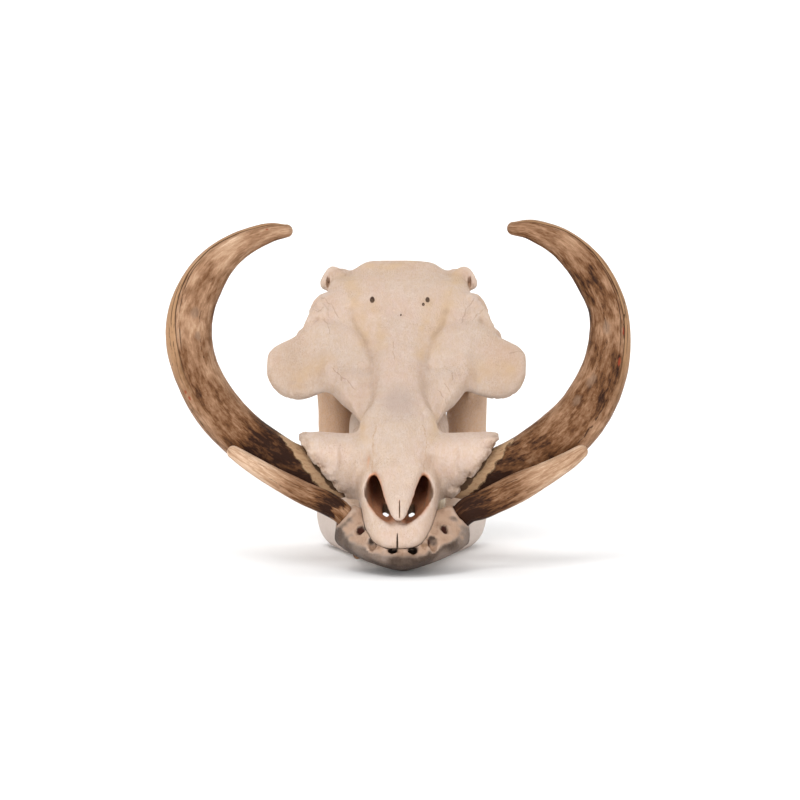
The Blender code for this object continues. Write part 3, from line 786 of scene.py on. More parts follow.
LOWER_TUSK_RIGHT = (
    (32, 67, 14, 6, 6), (37.5, 54, 30, 7, 7), (44.5, 45, 47, 8.5, 8), (58, 44, 57, 9.2, 8.5),
    (78, 45, 65.7, 9, 8.5), (98, 47, 76, 8.2, 8), (118, 49, 88, 6.9, 7), (134, 51, 98, 5.4, 5),
)
# Each tusk's rows, and whether they are turned over to the animal's right
TUSKS = {
    "upper_tusk_left": (UPPER_TUSK_LEFT, False), "upper_tusk_right": (UPPER_TUSK_RIGHT, True),
    "lower_tusk_left": (LOWER_TUSK_LEFT, False), "lower_tusk_right": (LOWER_TUSK_RIGHT, True),
}


def tusk_rings(rows, steps, around, grow=0.0):
    """Rings of points from root to tip, with a rounded end."""
    rows = np.array(rows, float)
    rows[:, 3:] += grow
    if grow:
        heading = rows[0, :3] - rows[1, :3]
        rows[0, :3] += heading / np.linalg.norm(heading) * grow
    rows = smooth_rows(rows, steps)
    tip = rows[-1]
    along = tip[:3] - rows[-2, :3]
    along /= np.linalg.norm(along)
    caps = []
    for turn in np.radians(np.linspace(8, 84, max(2, steps // 12))):
        cap = tip.copy()
        cap[:3] += along * tip[3] * math.sin(turn)
        cap[3:] *= math.cos(turn)
        caps.append(cap)
    rows = np.vstack([rows, caps])
    return sweep_rings(rows, 2.3, len(rows), around, BACKWARDS)


# Where the strip along each upper tusk's outer edge ends, in turns round the tusk
STRIP_EDGE = {"upper_tusk_left": (0.655, 0.62), "upper_tusk_right": (0.69, 0.62)}
UNROLLED_RADIUS = 18


def tusk_relief(flat, outward, node, share, angle, wrapped, seed):
    """A tusk's points with furrows, a ledge and swellings, which fade out at the tip."""
    body = rise(-share, -0.985, -0.93)
    if node in STRIP_EDGE:
        front = np.exp(-(((angle - 4.55) / 0.34) ** 2)) * rise(share, 0.4, 0.62)
        low, high = STRIP_EDGE[node]
        edge = (low + (high - low) * rise(share, 0.5, 0.75)) * 2 * math.pi
        ledge = np.exp(-(((angle - edge) / 0.05) ** 2)) * rise(share, 0.3, 0.42)
        flat = flat - outward * (body * (1.5 * front + 0.55 * ledge))[:, None]
    ripple = blotches(wrapped * (1, 1, 0.12), 5, seed) - 0.5
    swell = blotches(wrapped * (1, 1, 0.5), 16, seed + 7) - 0.5
    fine = blotches(wrapped * (1, 1, 0.3), 2.0, seed + 11) - 0.5
    return flat + outward * (body * (0.7 * ripple + 1.1 * swell + 0.3 * fine))[:, None]


def keep_tusk_map(tusk, spin, along):
    """Keeps the turn round a tusk and the share of its length as a map, whole across its seam."""
    mesh = tusk.data
    corners = np.empty(len(mesh.loops), np.int32)
    mesh.loops.foreach_get("vertex_index", corners)
    starts = np.empty(len(mesh.polygons), np.int32)
    totals = np.empty(len(mesh.polygons), np.int32)
    mesh.polygons.foreach_get("loop_start", starts)
    mesh.polygons.foreach_get("loop_total", totals)
    turned = spin[corners]
    owner = np.repeat(np.arange(len(starts)), totals)
    crossing = np.maximum.reduceat(turned, starts) - np.minimum.reduceat(turned, starts) > 0.6
    turned = np.where(crossing[owner] & (turned < 0.3), turned + 1, turned)
    places = np.column_stack([turned, along[corners]]).astype(np.float32)
    mesh.uv_layers.new(name="tusk_map").uv.foreach_set("vector", places.ravel())


def make_tusk(name, node, rows, flip, steps, around):
    """A tusk with its relief, and with its map, collar and unrolled space kept for its finish."""
    rings = tusk_rings(rows, steps, around)
    count = len(rings)
    middle = rings.mean(1)
    travelled = np.r_[0, np.cumsum(np.linalg.norm(np.diff(middle, axis=0), axis=1))]
    length = np.repeat(travelled, around)
    angle = np.tile(np.linspace(0, 2 * math.pi, around, endpoint=False), count)
    share = length / travelled[-1]
    flat = rings.reshape(-1, 3)
    outward = flat - np.repeat(middle, around, axis=0)
    outward /= np.maximum(np.linalg.norm(outward, axis=1), 1e-6)[:, None]
    wrapped = np.column_stack([np.cos(angle) * UNROLLED_RADIUS, np.sin(angle) * UNROLLED_RADIUS, length])
    upper = node in STRIP_EDGE
    flat = tusk_relief(flat, outward, node, share, angle, wrapped, 31 + 2 * upper + flip)
    points, faces = skin(flat.reshape(count, around, 3))
    tusk = mesh_object(name, [mirrored((points, faces)) if flip else (points, faces)])
    keep_tusk_map(tusk, np.r_[angle / (2 * math.pi), 0.5, 0.5], np.r_[share, 0.0, 1.0])
    out = np.full(len(flat), FAR)
    if upper:
        out = np.where(share < 0.4, beyond_sheath(to_palate(flat)), FAR)
    collar = tusk.data.attributes.new("tusk_collar", "FLOAT", "POINT")
    collar.data.foreach_set("value", np.r_[out, -50.0, FAR].astype(np.float32))
    flow = tusk.data.attributes.new("tusk_flow", "FLOAT_VECTOR", "POINT")
    vectors = np.vstack([wrapped, [[0, 0, 0], [0, 0, travelled[-1]]]]).astype(np.float32) * MM
    flow.data.foreach_set("vector", vectors.ravel())
    return tusk


# Cheek teeth: front b, back b, width, columns along the tooth

CHEEK_TEETH = {
    "premolar": (157, 168.5, 12, 1),
    "second_molar": (169.5, 189, 15, 2),
    "third_molar": (190, 240, 16.5, 5),
}
TOOTH_ROW_INNER = 30.5
BITE_HEIGHT = -14.0
UPPER_ROOT = 14.0
LOWER_ROOT = -36.0
TOOTH_SQUARENESS = 3.2
TOOTH_FURROW = 0.13
ROOT_SHARE = 0.84
# Each jaw's teeth: root, biting face, and shift to the side
TOOTH_ENDS = {
    "upper": (UPPER_ROOT, BITE_HEIGHT + GAP, 0.0),
    "lower": (LOWER_ROOT, BITE_HEIGHT - GAP, JAW_SIDE_SHIFT),
}


def tooth_space(front, back, width, columns, root, crown, flip, grow):
    """The space that a cheek tooth takes up in its socket, with a gap all round."""
    around, steps = 48, 4
    unit = superellipse(around, TOOTH_SQUARENESS)
    ripple = 1 - TOOTH_FURROW * (0.5 + 0.5 * np.cos(math.pi * columns * (unit[:, 1] + 1)))
    half = np.array([width / 2 + grow, (back - front) / 2 + grow])
    facing = 1 if crown > root else -1
    start, shoulder, end = root - facing * grow, crown - facing * 1.2, crown + facing * grow
    levels = [
        (start + (shoulder - start) * t, ROOT_SHARE + (1 - ROOT_SHARE) * t) for t in np.linspace(0, 1, steps)
    ]
    levels += [(shoulder + (end - shoulder) * t, 1 - 0.12 * t**2) for t in (0.4, 0.8, 1.0)]
    rings = []
    for h, size in levels:
        ring = np.zeros((around, 3))
        ring[:, 0] = TOOTH_ROW_INNER + unit[:, 0] * ripple * half[0] * size
        ring[:, 1] = (front + back) / 2 + unit[:, 1] * (half[1] * (0.5 + 0.5 * size))
        ring[:, 2] = h
        rings.append(ring)
    points, faces = skin(rings)
    shape = to_table(points), faces
    return mirrored(shape) if flip else shape


# Node trees

class Net:
    """A short way to write a tree of nodes: each call adds a node and gives back its output."""

    def __init__(self, tree):
        self.tree = tree

    def node(self, kind, inputs=(), **settings):
        made = self.tree.nodes.new(kind)
        for key, value in settings.items():
            setattr(made, key, value)
        for key, value in dict(inputs).items():
            self.feed(made.inputs[key], value)
        return made

    def feed(self, socket, value):
        if isinstance(value, bpy.types.NodeSocket):
            self.tree.links.new(value, socket)
        else:
            socket.default_value = value

    def math(self, operation, *values, clamp=False):
        made = self.node("ShaderNodeMath", dict(enumerate(values)), operation=operation)
        made.use_clamp = clamp
        return made.outputs[0]

    def times(self, *values, clamp=False):
        return self.math("MULTIPLY", *values, clamp=clamp)

    def plus(self, *values, clamp=False):
        return self.math("ADD", *values, clamp=clamp)

    def minus(self, *values):
        return self.math("SUBTRACT", *values)

    def vector(self, operation, *values):
        made = self.node("ShaderNodeVectorMath", dict(enumerate(values)), operation=operation)
        return made.outputs["Value" if operation in ("LENGTH", "DISTANCE", "DOT_PRODUCT") else "Vector"]

    def scaled(self, vector, amount):
        inputs = {"Vector": vector, "Scale": amount}
        return self.node("ShaderNodeVectorMath", inputs, operation="SCALE").outputs[0]

    def split(self, vector):
        made = self.node("ShaderNodeSeparateXYZ", {"Vector": vector})
        return made.outputs["X"], made.outputs["Y"], made.outputs["Z"]

    def join(self, x, y, z):
        return self.node("ShaderNodeCombineXYZ", {"X": x, "Y": y, "Z": z}).outputs["Vector"]

    def ramp(self, value, low, high, start=0.0, end=1.0):
        """From start to end as the value goes from low to high, eased and held outside."""
        made = self.node(
            "ShaderNodeMapRange",
            {"Value": value, "From Min": low, "From Max": high, "To Min": start, "To Max": end},
            interpolation_type="SMOOTHSTEP",
        )
        return made.outputs["Result"]

    def mix(self, share, first, second, blend="MIX"):
        made = self.node("ShaderNodeMix", data_type="RGBA", blend_type=blend)
        for index, value in ((0, share), (6, first), (7, second)):
            self.feed(made.inputs[index], value)
        return made.outputs[2]

    def over(self, below, tone, mask, most=None):
        """A colour setting laid over a colour where a mask says, by the given share at most."""
        share = mask if most is None else self.times(mask, most)
        return self.mix(share, below, linear(tone))

    def band(self, value, stops):
        """Colours or numbers picked along a value. Each stop is: place, then a colour or a number."""
        made = self.node("ShaderNodeValToRGB", {"Fac": value})
        elements = made.color_ramp.elements
        for index, (place, tone) in enumerate(stops):
            element = elements[index] if index < 2 else elements.new(place)
            element.position = place
            element.color = (tone, tone, tone, 1.0) if isinstance(tone, float) else tone
        return made.outputs["Color"]

    def noise(self, point, scale, detail=3.0, roughness=0.5, distortion=0.0):
        made = self.node(
            "ShaderNodeTexNoise",
            {"Vector": point, "Scale": scale, "Detail": detail, "Roughness": roughness,
             "Distortion": distortion},
        )
        return made.outputs[0]

    def wavered(self, place, point, scale, detail, amount):
        """A place pushed about by noise, so that straight marks waver."""
        inputs = {"Vector": point, "Scale": scale, "Detail": detail}
        noise = self.node("ShaderNodeTexNoise", inputs).outputs[1]
        push = self.vector("SUBTRACT", noise, (0.5, 0.5, 0.5))
        return self.vector("ADD", place, self.scaled(push, amount))

    def cells(self, point, scale):
        return self.node("ShaderNodeTexVoronoi", {"Vector": point, "Scale": scale}).outputs["Distance"]

    def attribute(self, name):
        return self.node("ShaderNodeAttribute", attribute_name=name)

    def group(self, tree, inputs):
        made = self.node("ShaderNodeGroup", node_tree=tree)
        for key, value in inputs.items():
            self.feed(made.inputs[key], value)
        return made.outputs


def node_group(name, inputs, outputs, kind="ShaderNodeTree"):
    """An empty group with named sockets, and the net to write it in."""
    tree = bpy.data.node_groups.new(name, kind)
    for label, (socket, value) in inputs.items():
        made = tree.interface.new_socket(label, in_out="INPUT", socket_type=socket)
        if value is not None:
            made.default_value = value
    for label, socket in outputs.items():
        tree.interface.new_socket(label, in_out="OUTPUT", socket_type=socket)
    have = tree.nodes.new("NodeGroupInput").outputs
    give = tree.nodes.new("NodeGroupOutput").inputs
    return tree, Net(tree), have, give


def line_mark():
    """A soft line from one point to another: the mask is 1 on the line."""
    tree, net, have, give = node_group(
        "line mark",
        {
            "Point": ("NodeSocketVector", None), "Start": ("NodeSocketVector", None),
            "End": ("NodeSocketVector", None), "Width": ("NodeSocketFloat", 0.5),
        },
        {"Mask": "NodeSocketFloat"},
    )
    run = net.vector("SUBTRACT", have["End"], have["Start"])
    reach = net.vector("SUBTRACT", have["Point"], have["Start"])
    squared = net.vector("DOT_PRODUCT", run, run)
    share = net.math("DIVIDE", net.vector("DOT_PRODUCT", reach, run), squared, clamp=True)
    off = net.vector("LENGTH", net.vector("SUBTRACT", reach, net.scaled(run, share)))
    taper = net.ramp(net.math("ABSOLUTE", net.minus(share, 0.5)), 0.3, 0.5, 1.0, 0.35)
    wide = net.times(have["Width"], taper)
    net.feed(give["Mask"], net.ramp(net.math("DIVIDE", off, wide), 1.0, 0.35))
    return tree


def spot_mark():
    """A soft round or oval spot: the mask is 1 at its middle."""
    tree, net, have, give = node_group(
        "spot mark",
        {
            "Point": ("NodeSocketVector", None), "Centre": ("NodeSocketVector", None),
            "Size": ("NodeSocketVector", (1.0, 1.0, 1.0)), "Edge": ("NodeSocketFloat", 0.5),
        },
        {"Mask": "NodeSocketFloat"},
    )
    off = net.vector("DIVIDE", net.vector("SUBTRACT", have["Point"], have["Centre"]), have["Size"])
    inner = net.minus(1.0, have["Edge"])
    net.feed(give["Mask"], net.ramp(net.vector("LENGTH", off), 1.0, inner))
    return tree


def fine_grain():
    """Close grain and pits that bone, ivory and tooth share, as heights and a mask of the pits."""
    tree, net, have, give = node_group(
        "fine grain",
        {
            "Point": ("NodeSocketVector", None), "Grain": ("NodeSocketFloat", 400.0),
            "Pits": ("NodeSocketFloat", 500.0), "Pit Share": ("NodeSocketFloat", 0.3),
        },
        {"Height": "NodeSocketFloat", "Pit Mask": "NodeSocketFloat"},
    )
    grain = net.noise(have["Point"], have["Grain"], detail=4.0, roughness=0.65)
    bent = net.vector("ADD", have["Point"], net.scaled(net.node(
        "ShaderNodeTexNoise", {"Vector": have["Point"], "Scale": have["Grain"]}).outputs[1], 0.001))
    distance = net.cells(bent, have["Pits"])
    crowd = net.noise(have["Point"], 55.0, detail=2.0)
    reach = net.times(net.ramp(crowd, 0.42, 0.68), have["Pit Share"])
    pit = net.ramp(net.minus(distance, reach), 0.05, -0.08)
    net.feed(give["Height"], net.minus(grain, net.times(pit, 0.9)))
    net.feed(give["Pit Mask"], pit)
    return tree


def patchy():
    """Uneven patches in three sizes, each from 0 to 1."""
    tree, net, have, give = node_group(
        "patchy",
        {"Point": ("NodeSocketVector", None), "Size": ("NodeSocketFloat", 0.04)},
        {"Broad": "NodeSocketFloat", "Middle": "NodeSocketFloat", "Small": "NodeSocketFloat"},
    )
    per_metre = net.math("DIVIDE", 1.0, have["Size"])
    net.feed(give["Broad"], net.ramp(net.noise(have["Point"], per_metre, detail=3.0), 0.35, 0.65))
    middle = net.noise(have["Point"], net.times(per_metre, 3.3), detail=4.0, roughness=0.6)
    net.feed(give["Middle"], net.ramp(middle, 0.36, 0.66))
    small = net.noise(have["Point"], net.times(per_metre, 11.0), detail=4.0, roughness=0.65)
    net.feed(give["Small"], net.ramp(small, 0.38, 0.66))
    return tree


def shared_effects():
    """The groups that more than one finish uses, built once."""
    makers = {"line mark": line_mark, "spot mark": spot_mark, "fine grain": fine_grain, "patchy": patchy}
    return {name: bpy.data.node_groups.get(name) or make() for name, make in makers.items()}


def new_finish(name, roughness, **constants):
    """A material with its shader's fixed numbers set, and the net to write the rest in."""
    made = bpy.data.materials.new(name)
    made.use_nodes = True
    net = Net(made.node_tree)
    shader = made.node_tree.nodes["Principled BSDF"]
    shader.inputs["Roughness"].default_value = roughness
    for label, value in constants.items():
        shader.inputs[label.replace("_", " ")].default_value = value
    return made, net, shader


def linear(colour):
    """A colour property as a node's colour."""
    return (colour[0], colour[1], colour[2], 1.0)


def strongest(net, masks):
    total = masks[0]
    for mask in masks[1:]:
        total = net.math("MAXIMUM", total, mask)
    return total


def lines(net, group, point, paths):
    """One mask for several thin lines. Each path is: width, then its points."""
    masks = []
    for width, *spots in paths:
        for start, end in zip(spots, spots[1:]):
            ends = {"Point": point, "Start": start, "End": end, "Width": width}
            masks.append(net.group(group, ends)["Mask"])
    return strongest(net, masks)


def spots(net, group, point, places, edge=0.6):
    """One mask for several spots. Each place is: centre, then size."""
    masks = [
        net.group(group, {"Point": point, "Centre": centre, "Size": size, "Edge": edge})["Mask"]
        for centre, size in places
    ]
    return strongest(net, masks)


def in_metres(paths):
    return [(width * MM, *[tuple(v * MM for v in spot) for spot in path]) for width, *path in paths]


def spots_in_metres(places):
    return [(tuple(v * MM for v in centre), tuple(v * MM for v in size)) for centre, size in places]


def bump(net, shader, height, strength, distance):
    made = net.node("ShaderNodeBump", {"Height": height, "Strength": strength, "Distance": distance})
    net.feed(shader.inputs["Normal"], made.outputs["Normal"])


# Lines on the cranium, in the palate's frame: width, then points seen from above

SEAMS = (
    (0.9, (-20.8, 61, 0), (-21.2, 76, 0), (-21, 93, 0), (-18.5, 112, 0)),
    (0.9, (19.8, 60, 0), (21.8, 78, 0), (23, 94, 0), (20, 112, 0)),
)
CRACKS = (
    (0.8, (-50.4, 197, 0), (-45, 189, 0), (-37.2, 177.5, 0)),
    (0.7, (-58, 207, 0), (-50, 198, 0), (-49, 190, 0)),
    (0.7, (39.7, 205, 0), (46, 201, 0), (45.9, 190, 0)),
    (0.6, (32.5, 179.6, 0), (39.2, 170.3, 0), (44, 160, 0)),
    (0.5, (38, 186, 0), (44, 176, 0), (47, 165, 0)),
    (0.6, (96, 229.5, 0), (104.2, 229.2, 0), (112, 231, 0)),
    (0.8, (-70, 294, 0), (-59.4, 285.6, 0), (-52.7, 271, 0)),
    (0.7, (-77, 279, 0), (-71, 276, 0), (-66, 281, 0)),
    (0.8, (68, 292, 0), (60, 282, 0), (55, 264, 0)),
    (0.6, (76, 280, 0), (70, 274, 0), (64, 266, 0)),
    (0.5, (-66, 270, 0), (-62, 258, 0), (-60, 244, 0)),
    (0.5, (-4.2, 233, 0), (-5, 218, 0), (-3.5, 205, 0)),
)
# Yellow runs below the forehead's holes and along the face: width, then points seen from above
RUNS = (
    (5, ((-23.5, 288), (-20, 268), (-16, 246), (-15, 225))),
    (5, ((25.5, 288), (24, 268), (20, 240), (19, 215))),
    (8, ((52, 335), (44, 300), (36, 262), (30, 230))),
    (7, ((-46, 330), (-40, 305), (-36, 268), (-30, 236))),
    (6, ((14, 352), (-12, 338), (-30, 346))),
    (6, ((-62, 215), (-74, 222), (-88, 214))),
    (5, ((66, 212), (80, 224), (96, 218))),
    (4, ((28, 95), (32, 120), (33, 150))),
    (4, ((-28, 95), (-32, 120), (-33, 150))),
)


# The forehead's holes: centre and reach
FOREHEAD_HOLES = (
    ((-23.5, 289.2, 120), (2.7, 5.2, 18)), ((25.5, 290, 120), (2.4, 4.4, 18)),
    ((21.7, 284, 120), (1.5, 2.5, 16)), ((1.8, 271, 114), (1.0, 1.6, 14)),
)


def palate_point(net, point):
    """The palate frame's coordinates of a place on the finished skull."""
    x, y, z = net.split(point)
    y = net.plus(y, ORIGIN[1] * MM)
    z = net.plus(z, (FOOT_HEIGHT - SNOUT_HEIGHT) * MM)
    c, s = math.cos(PALATE_TILT), math.sin(PALATE_TILT)
    b = net.plus(net.times(y, c), net.times(z, s))
    h = net.minus(net.times(z, c), net.times(y, s))
    return net.join(x, b, h)


def bone_finish(name, base, dark, tan, colours, cranium):
    """Dry bone: mottled patches, pits, fine cracks and stained edges, with painted shade in hollows, holes,
    the nose and on the jaw's front and underside, and painted light on the jaw's sides and the nose's walls.
    """
    effects = shared_effects()
    made, net, shader = new_finish(name, 0.6, Specular_IOR_Level=0.1)
    point = net.node("ShaderNodeTexCoord").outputs["Object"]
    marks = net.attribute("marks")
    deep, stain, warm = net.node("ShaderNodeSeparateColor", {"Color": marks.outputs["Color"]}).outputs
    hollow = marks.outputs["Alpha"]
    patches = net.group(effects["patchy"], {"Point": point, "Size": 0.045})
    drawn = net.vector("MULTIPLY", point, (1.0, 0.25, 0.5))
    fibres = net.group(effects["patchy"], {"Point": drawn, "Size": 0.012})
    grain = net.group(
        effects["fine grain"], {"Point": point, "Grain": 560.0, "Pits": 640.0, "Pit Share": 0.34}
    )
    colour = net.over(linear(base), colours.bone_pink, patches["Broad"])
    colour = net.over(colour, colours.bone_pale, patches["Middle"], 0.5)
    colour = net.over(colour, colours.bone_yellow, fibres["Middle"], 0.28)
    colour = net.over(colour, colours.bone_warm, fibres["Small"], 0.22)
    colour = net.over(colour, tan, net.times(warm, net.ramp(fibres["Small"], 0.0, 1.0, 0.7, 1.0)))
    colour = net.over(colour, colours.bone_warm, net.times(patches["Small"], patches["Middle"]), 0.22)
    tints = net.node("ShaderNodeSeparateColor", {"Color": net.attribute("tints").outputs["Color"]}).outputs
    if cranium:
        runs, grey, nose = tints
        colour = net.over(colour, colours.bone_yellow, runs, 0.7)
        colour = net.over(colour, colours.bone_grey, grey, 0.75)
        # The nose walls' pink: partly their own colour, partly painted light
        colour = net.over(colour, colours.nose, nose, 0.9)
        own = palate_point(net, point)
        above = net.vector("MULTIPLY", net.wavered(own, point, 170.0, 4.0, 0.0045), (1.0, 1.0, 0.0))
        upper = net.ramp(net.split(net.node("ShaderNodeNewGeometry").outputs["Normal"])[2], 0.0, 0.3)
        seams = net.times(lines(net, effects["line mark"], above, in_metres(SEAMS)), upper)
        seams = net.times(seams, net.ramp(fibres["Small"], 0.2, 0.8, 0.25, 0.7))
        colour = net.over(colour, colours.bone_warm, seams)
        cracks = net.times(lines(net, effects["line mark"], above, in_metres(CRACKS)), upper)
        colour = net.over(colour, colours.stain, cracks, 0.3)
        # Spots inside the forehead's holes, for their painted shade
        holes = spots(net, effects["spot mark"], own, spots_in_metres(FOREHEAD_HOLES), edge=0.3)
    else:
        shelf, sides, holes = tints
        # Painted light on the jaw's sides, then the real tan of the pitted shelf
        colour = net.over(colour, colours.jaw_side_light, sides, 0.8)
        colour = net.over(colour, colours.jaw_shelf, shelf, 0.85)
    uneven_stain = net.times(stain, net.ramp(patches["Small"], 0.0, 0.8, 0.45, 1.0), clamp=True)
    colour = net.over(colour, colours.stain, uneven_stain)
    colour = net.over(colour, colours.stain, grain["Pit Mask"], 0.2)
    # Painted shade: the stain colour laid into hollows by how concave the surface is
    colour = net.over(colour, colours.stain, net.ramp(hollow, 0.54, 0.95), 0.6)
    colour = net.over(colour, colours.bone_pale, net.ramp(hollow, 0.45, 0.1), 0.3)
    # The dark colour by the deep mask: partly stain and partly painted shade in the cranium's nose, throat
    # and crest corners; painted shade on the jaw's front, underside and shut-in places
    colour = net.over(colour, dark, net.times(deep, net.ramp(patches["Small"], 0.0, 1.0, 1.0, 0.94)))
    # Painted shade inside the forehead's holes on the cranium and the emptied sockets on the jaw
    colour = net.over(colour, colours.hole_shade, holes)
    net.feed(shader.inputs["Base Color"], colour)
    net.feed(shader.inputs["Roughness"], net.ramp(patches["Small"], 0.0, 1.0, 0.50, 0.66))
    height = net.plus(net.times(grain["Height"], 0.32), net.times(fibres["Small"], 0.5))
    bump(net, shader, height, 0.6, 0.0011)
    return made


# Marks on the tusks, in a tusk's own unrolled space: 18 mm round its middle, and along its length

TUSK_CRACKS = {
    "upper_tusk_right": (
        (0.7, (-15, -10, 204), (-12.7, -12.7, 186), (-17.4, -4.7, 161)),
        (0.7, (-17, -5, 166), (-15.6, -9, 137), (-16.1, -8, 107)),
        (0.4, (5, -17, 250), (8, -16, 205), (10, -15, 170)),
    ),
    "upper_tusk_left": (
        (1.0, (-16.6, -6.9, 225), (-11, -14.3, 210), (-10, -15, 197)),
        (0.8, (-8, -16.1, 153), (-6.9, -16.6, 130), (-9, -15.6, 110)),
        (0.4, (6, -17, 240), (3, -17.6, 200), (7, -16.5, 165)),
    ),
    "lower_tusk_right": (
        (0.8, (-14, -11, 48), (-5, -17, 51), (6, -17, 47), (14, -11, 50)),
        (0.5, (8, -16, 70), (5, -17, 100), (9, -15.6, 125)),
        (0.5, (-6, -17, 84), (-3, -17.7, 112)),
    ),
    "lower_tusk_left": (
        (0.6, (9, -15.6, 60), (12, -13, 84), (9, -15.6, 100)),
        (0.5, (-4, -17.5, 76), (-7, -16.5, 106)),
    ),
}
TUSK_REDS = {
    "upper_tusk_right": (((-12.7, -12.7, 155), (1.8, 1.8, 2)), ((-11.9, -13.5, 149.6), (1.8, 1.8, 2.2)),
                         ((-6.9, -16.6, 309), (1.6, 1.6, 1.8))),
    "upper_tusk_left": (((-10, -15, 202.7), (1.3, 1.3, 4)), ((-8, -16.1, 180.6), (1.4, 1.4, 4))),
}
TUSK_GREYS = {
    "upper_tusk_right": (((3.5, -17.7, 215), (4, 4, 7)), ((6.9, -16.6, 196), (3, 3, 5))),
    "upper_tusk_left": (((3.5, -17.7, 206), (4, 4, 8)), ((6.9, -16.6, 160), (4, 4, 9)),
                        ((9, -15.6, 138), (4, 4, 8))),
}
# How light each tusk is along its length, from 0 to 1
TUSK_TONES = {
    "upper_tusk_right": ((0.0, 0.04), (0.13, 0.08), (0.21, 0.04), (0.25, 0.08), (0.3, 0.3), (0.36, 0.4),
                         (0.46, 0.48), (0.6, 0.5), (0.7, 0.52), (0.8, 0.74), (0.88, 0.44), (0.95, 0.44),
                         (1.0, 0.7)),
    "upper_tusk_left": ((0.0, 0.04), (0.14, 0.05), (0.2, 0.22), (0.28, 0.42), (0.4, 0.4), (0.55, 0.34),
                        (0.68, 0.34), (0.8, 0.4), (0.93, 0.28), (1.0, 0.4)),
    "lower_tusk_right": ((0.0, 0.5), (0.33, 0.5), (0.346, 0.0), (0.4, 0.03), (0.48, 0.36), (0.56, 0.54),
                         (0.7, 0.8), (0.84, 1.0), (1.0, 1.0)),
    "lower_tusk_left": ((0.0, 0.04), (0.34, 0.0), (0.42, 0.14), (0.5, 0.38), (0.62, 0.6), (0.72, 0.8),
                        (0.9, 0.86), (1.0, 0.9)),
}


def outer_strip(net, body, colours, node, turn, share, wander, flow, streaks):
    """The yellower strip along an upper tusk's outer edge, with a dark rim and a broken second line."""
    bend = net.times(net.minus(net.noise(flow, 14.0, detail=2.0), 0.5), 0.09)
    off = net.minus(net.plus(turn, bend), net.ramp(share, 0.5, 0.75, *STRIP_EDGE[node]))
    along = net.ramp(wander, 0.38, 0.62)
    strip = net.times(net.ramp(off, 0.002, -0.002), net.ramp(turn, 0.38, 0.46))
    body = net.over(body, colours.ivory_yellow, net.times(strip, along), 0.75)
    rim = net.ramp(net.math("ABSOLUTE", off), 0.0085, 0.0025)
    second = net.math("ABSOLUTE", net.plus(off, net.times(bend, 0.7)))
    second = net.math("ABSOLUTE", net.minus(second, 0.035))
    broken = net.ramp(streaks["Middle"], 0.42, 0.56)
    rim = net.math("MAXIMUM", rim, net.times(net.ramp(second, 0.007, 0.002), broken))
    return net.over(body, colours.ivory_dark, net.times(rim, along), 0.85)


def collar_band(net, body, colours, flow, patches):
    """The cream band and its dark lines where an upper tusk leaves the bone."""
    collar = net.attribute("tusk_collar").outputs["Fac"]
    edge = net.plus(collar, net.times(net.minus(net.noise(flow, 110.0), 0.5), 9.0))
    cream = net.ramp(edge, 9.4, 8.8)
    mottled = net.over(
        linear(colours.collar), colours.ivory, net.ramp(patches["Small"], 0.35, 0.75, 0.0, 0.6)
    )
    body = net.mix(cream, body, mottled)
    line = net.times(net.ramp(edge, 8.0, 8.9), cream)
    line = net.math("MAXIMUM", line, net.ramp(edge, 2.2, 0.8))
    return net.over(body, colours.ivory_dark, line, 0.8)


def ivory_finish(name, colours, node):
    """A tusk: dark stained base, brown mottled middle, pale worn tip, streaks and cracks along it."""
    effects = shared_effects()
    upper = node in STRIP_EDGE
    made, net, shader = new_finish(name, 0.5, Specular_IOR_Level=0.1)
    turn, share, _ = net.split(net.node("ShaderNodeUVMap", uv_map="tusk_map").outputs["UV"])
    flow = net.attribute("tusk_flow").outputs["Vector"]
    stretched = net.vector("MULTIPLY", flow, (1.0, 1.0, 0.16))
    drawn = net.vector("MULTIPLY", flow, (1.0, 1.0, 0.4))
    patches = net.group(effects["patchy"], {"Point": drawn, "Size": 0.024})
    streaks = net.group(effects["patchy"], {"Point": stretched, "Size": 0.011})
    grain = net.group(
        effects["fine grain"], {"Point": stretched, "Grain": 900.0, "Pits": 420.0, "Pit Share": 0.2}
    )
    wander = net.plus(share, net.times(net.minus(streaks["Broad"], 0.5), 0.06))
    tone = net.band(wander, TUSK_TONES[node])
    swing = net.times(patches["Broad"], 0.3)
    for blots, amount in (
        (patches["Middle"], 0.22), (streaks["Middle"], 0.14),
        (patches["Small"], 0.14), (streaks["Small"], 0.1),
    ):
        swing = net.plus(swing, net.times(blots, amount))
    reach = net.ramp(tone, 0.0, 0.35, 0.6, 1.0)
    swing = net.times(net.minus(swing, 0.45), net.times(reach, 1.1))
    body = net.band(net.plus(tone, swing, clamp=True), (
        (0.0, linear(colours.ivory_dark)), (0.22, linear(colours.ivory_brown)),
        (0.55, linear(colours.ivory)), (0.85, linear(colours.ivory_pale)), (1.0, linear(colours.ivory_tip)),
    ))
    if upper:
        body = outer_strip(net, body, colours, node, turn, share, wander, flow, streaks)
    bent = net.wavered(flow, flow, 160.0, 3.0, 0.004)
    cracks = lines(net, effects["line mark"], bent, in_metres(TUSK_CRACKS[node]))
    body = net.over(body, colours.ivory_dark, cracks, 0.85)
    if upper:
        greys = spots(net, effects["spot mark"], bent, spots_in_metres(TUSK_GREYS[node]))
        body = net.over(body, colours.ivory_grey, greys, 0.45)
        reds = spots(net, effects["spot mark"], bent, spots_in_metres(TUSK_REDS[node]))
        body = net.over(body, colours.red_stain, reds, 0.8)
        body = collar_band(net, body, colours, flow, patches)
    body = net.over(body, colours.ivory_dark, grain["Pit Mask"], 0.45)
    net.feed(shader.inputs["Base Color"], body)
    net.feed(shader.inputs["Roughness"], net.ramp(streaks["Small"], 0.0, 1.0, 0.42, 0.6))
    height = net.plus(net.times(grain["Height"], 0.4), net.times(streaks["Small"], 0.5))
    bump(net, shader, net.minus(height, cracks), 0.5, 0.0007)
    return made


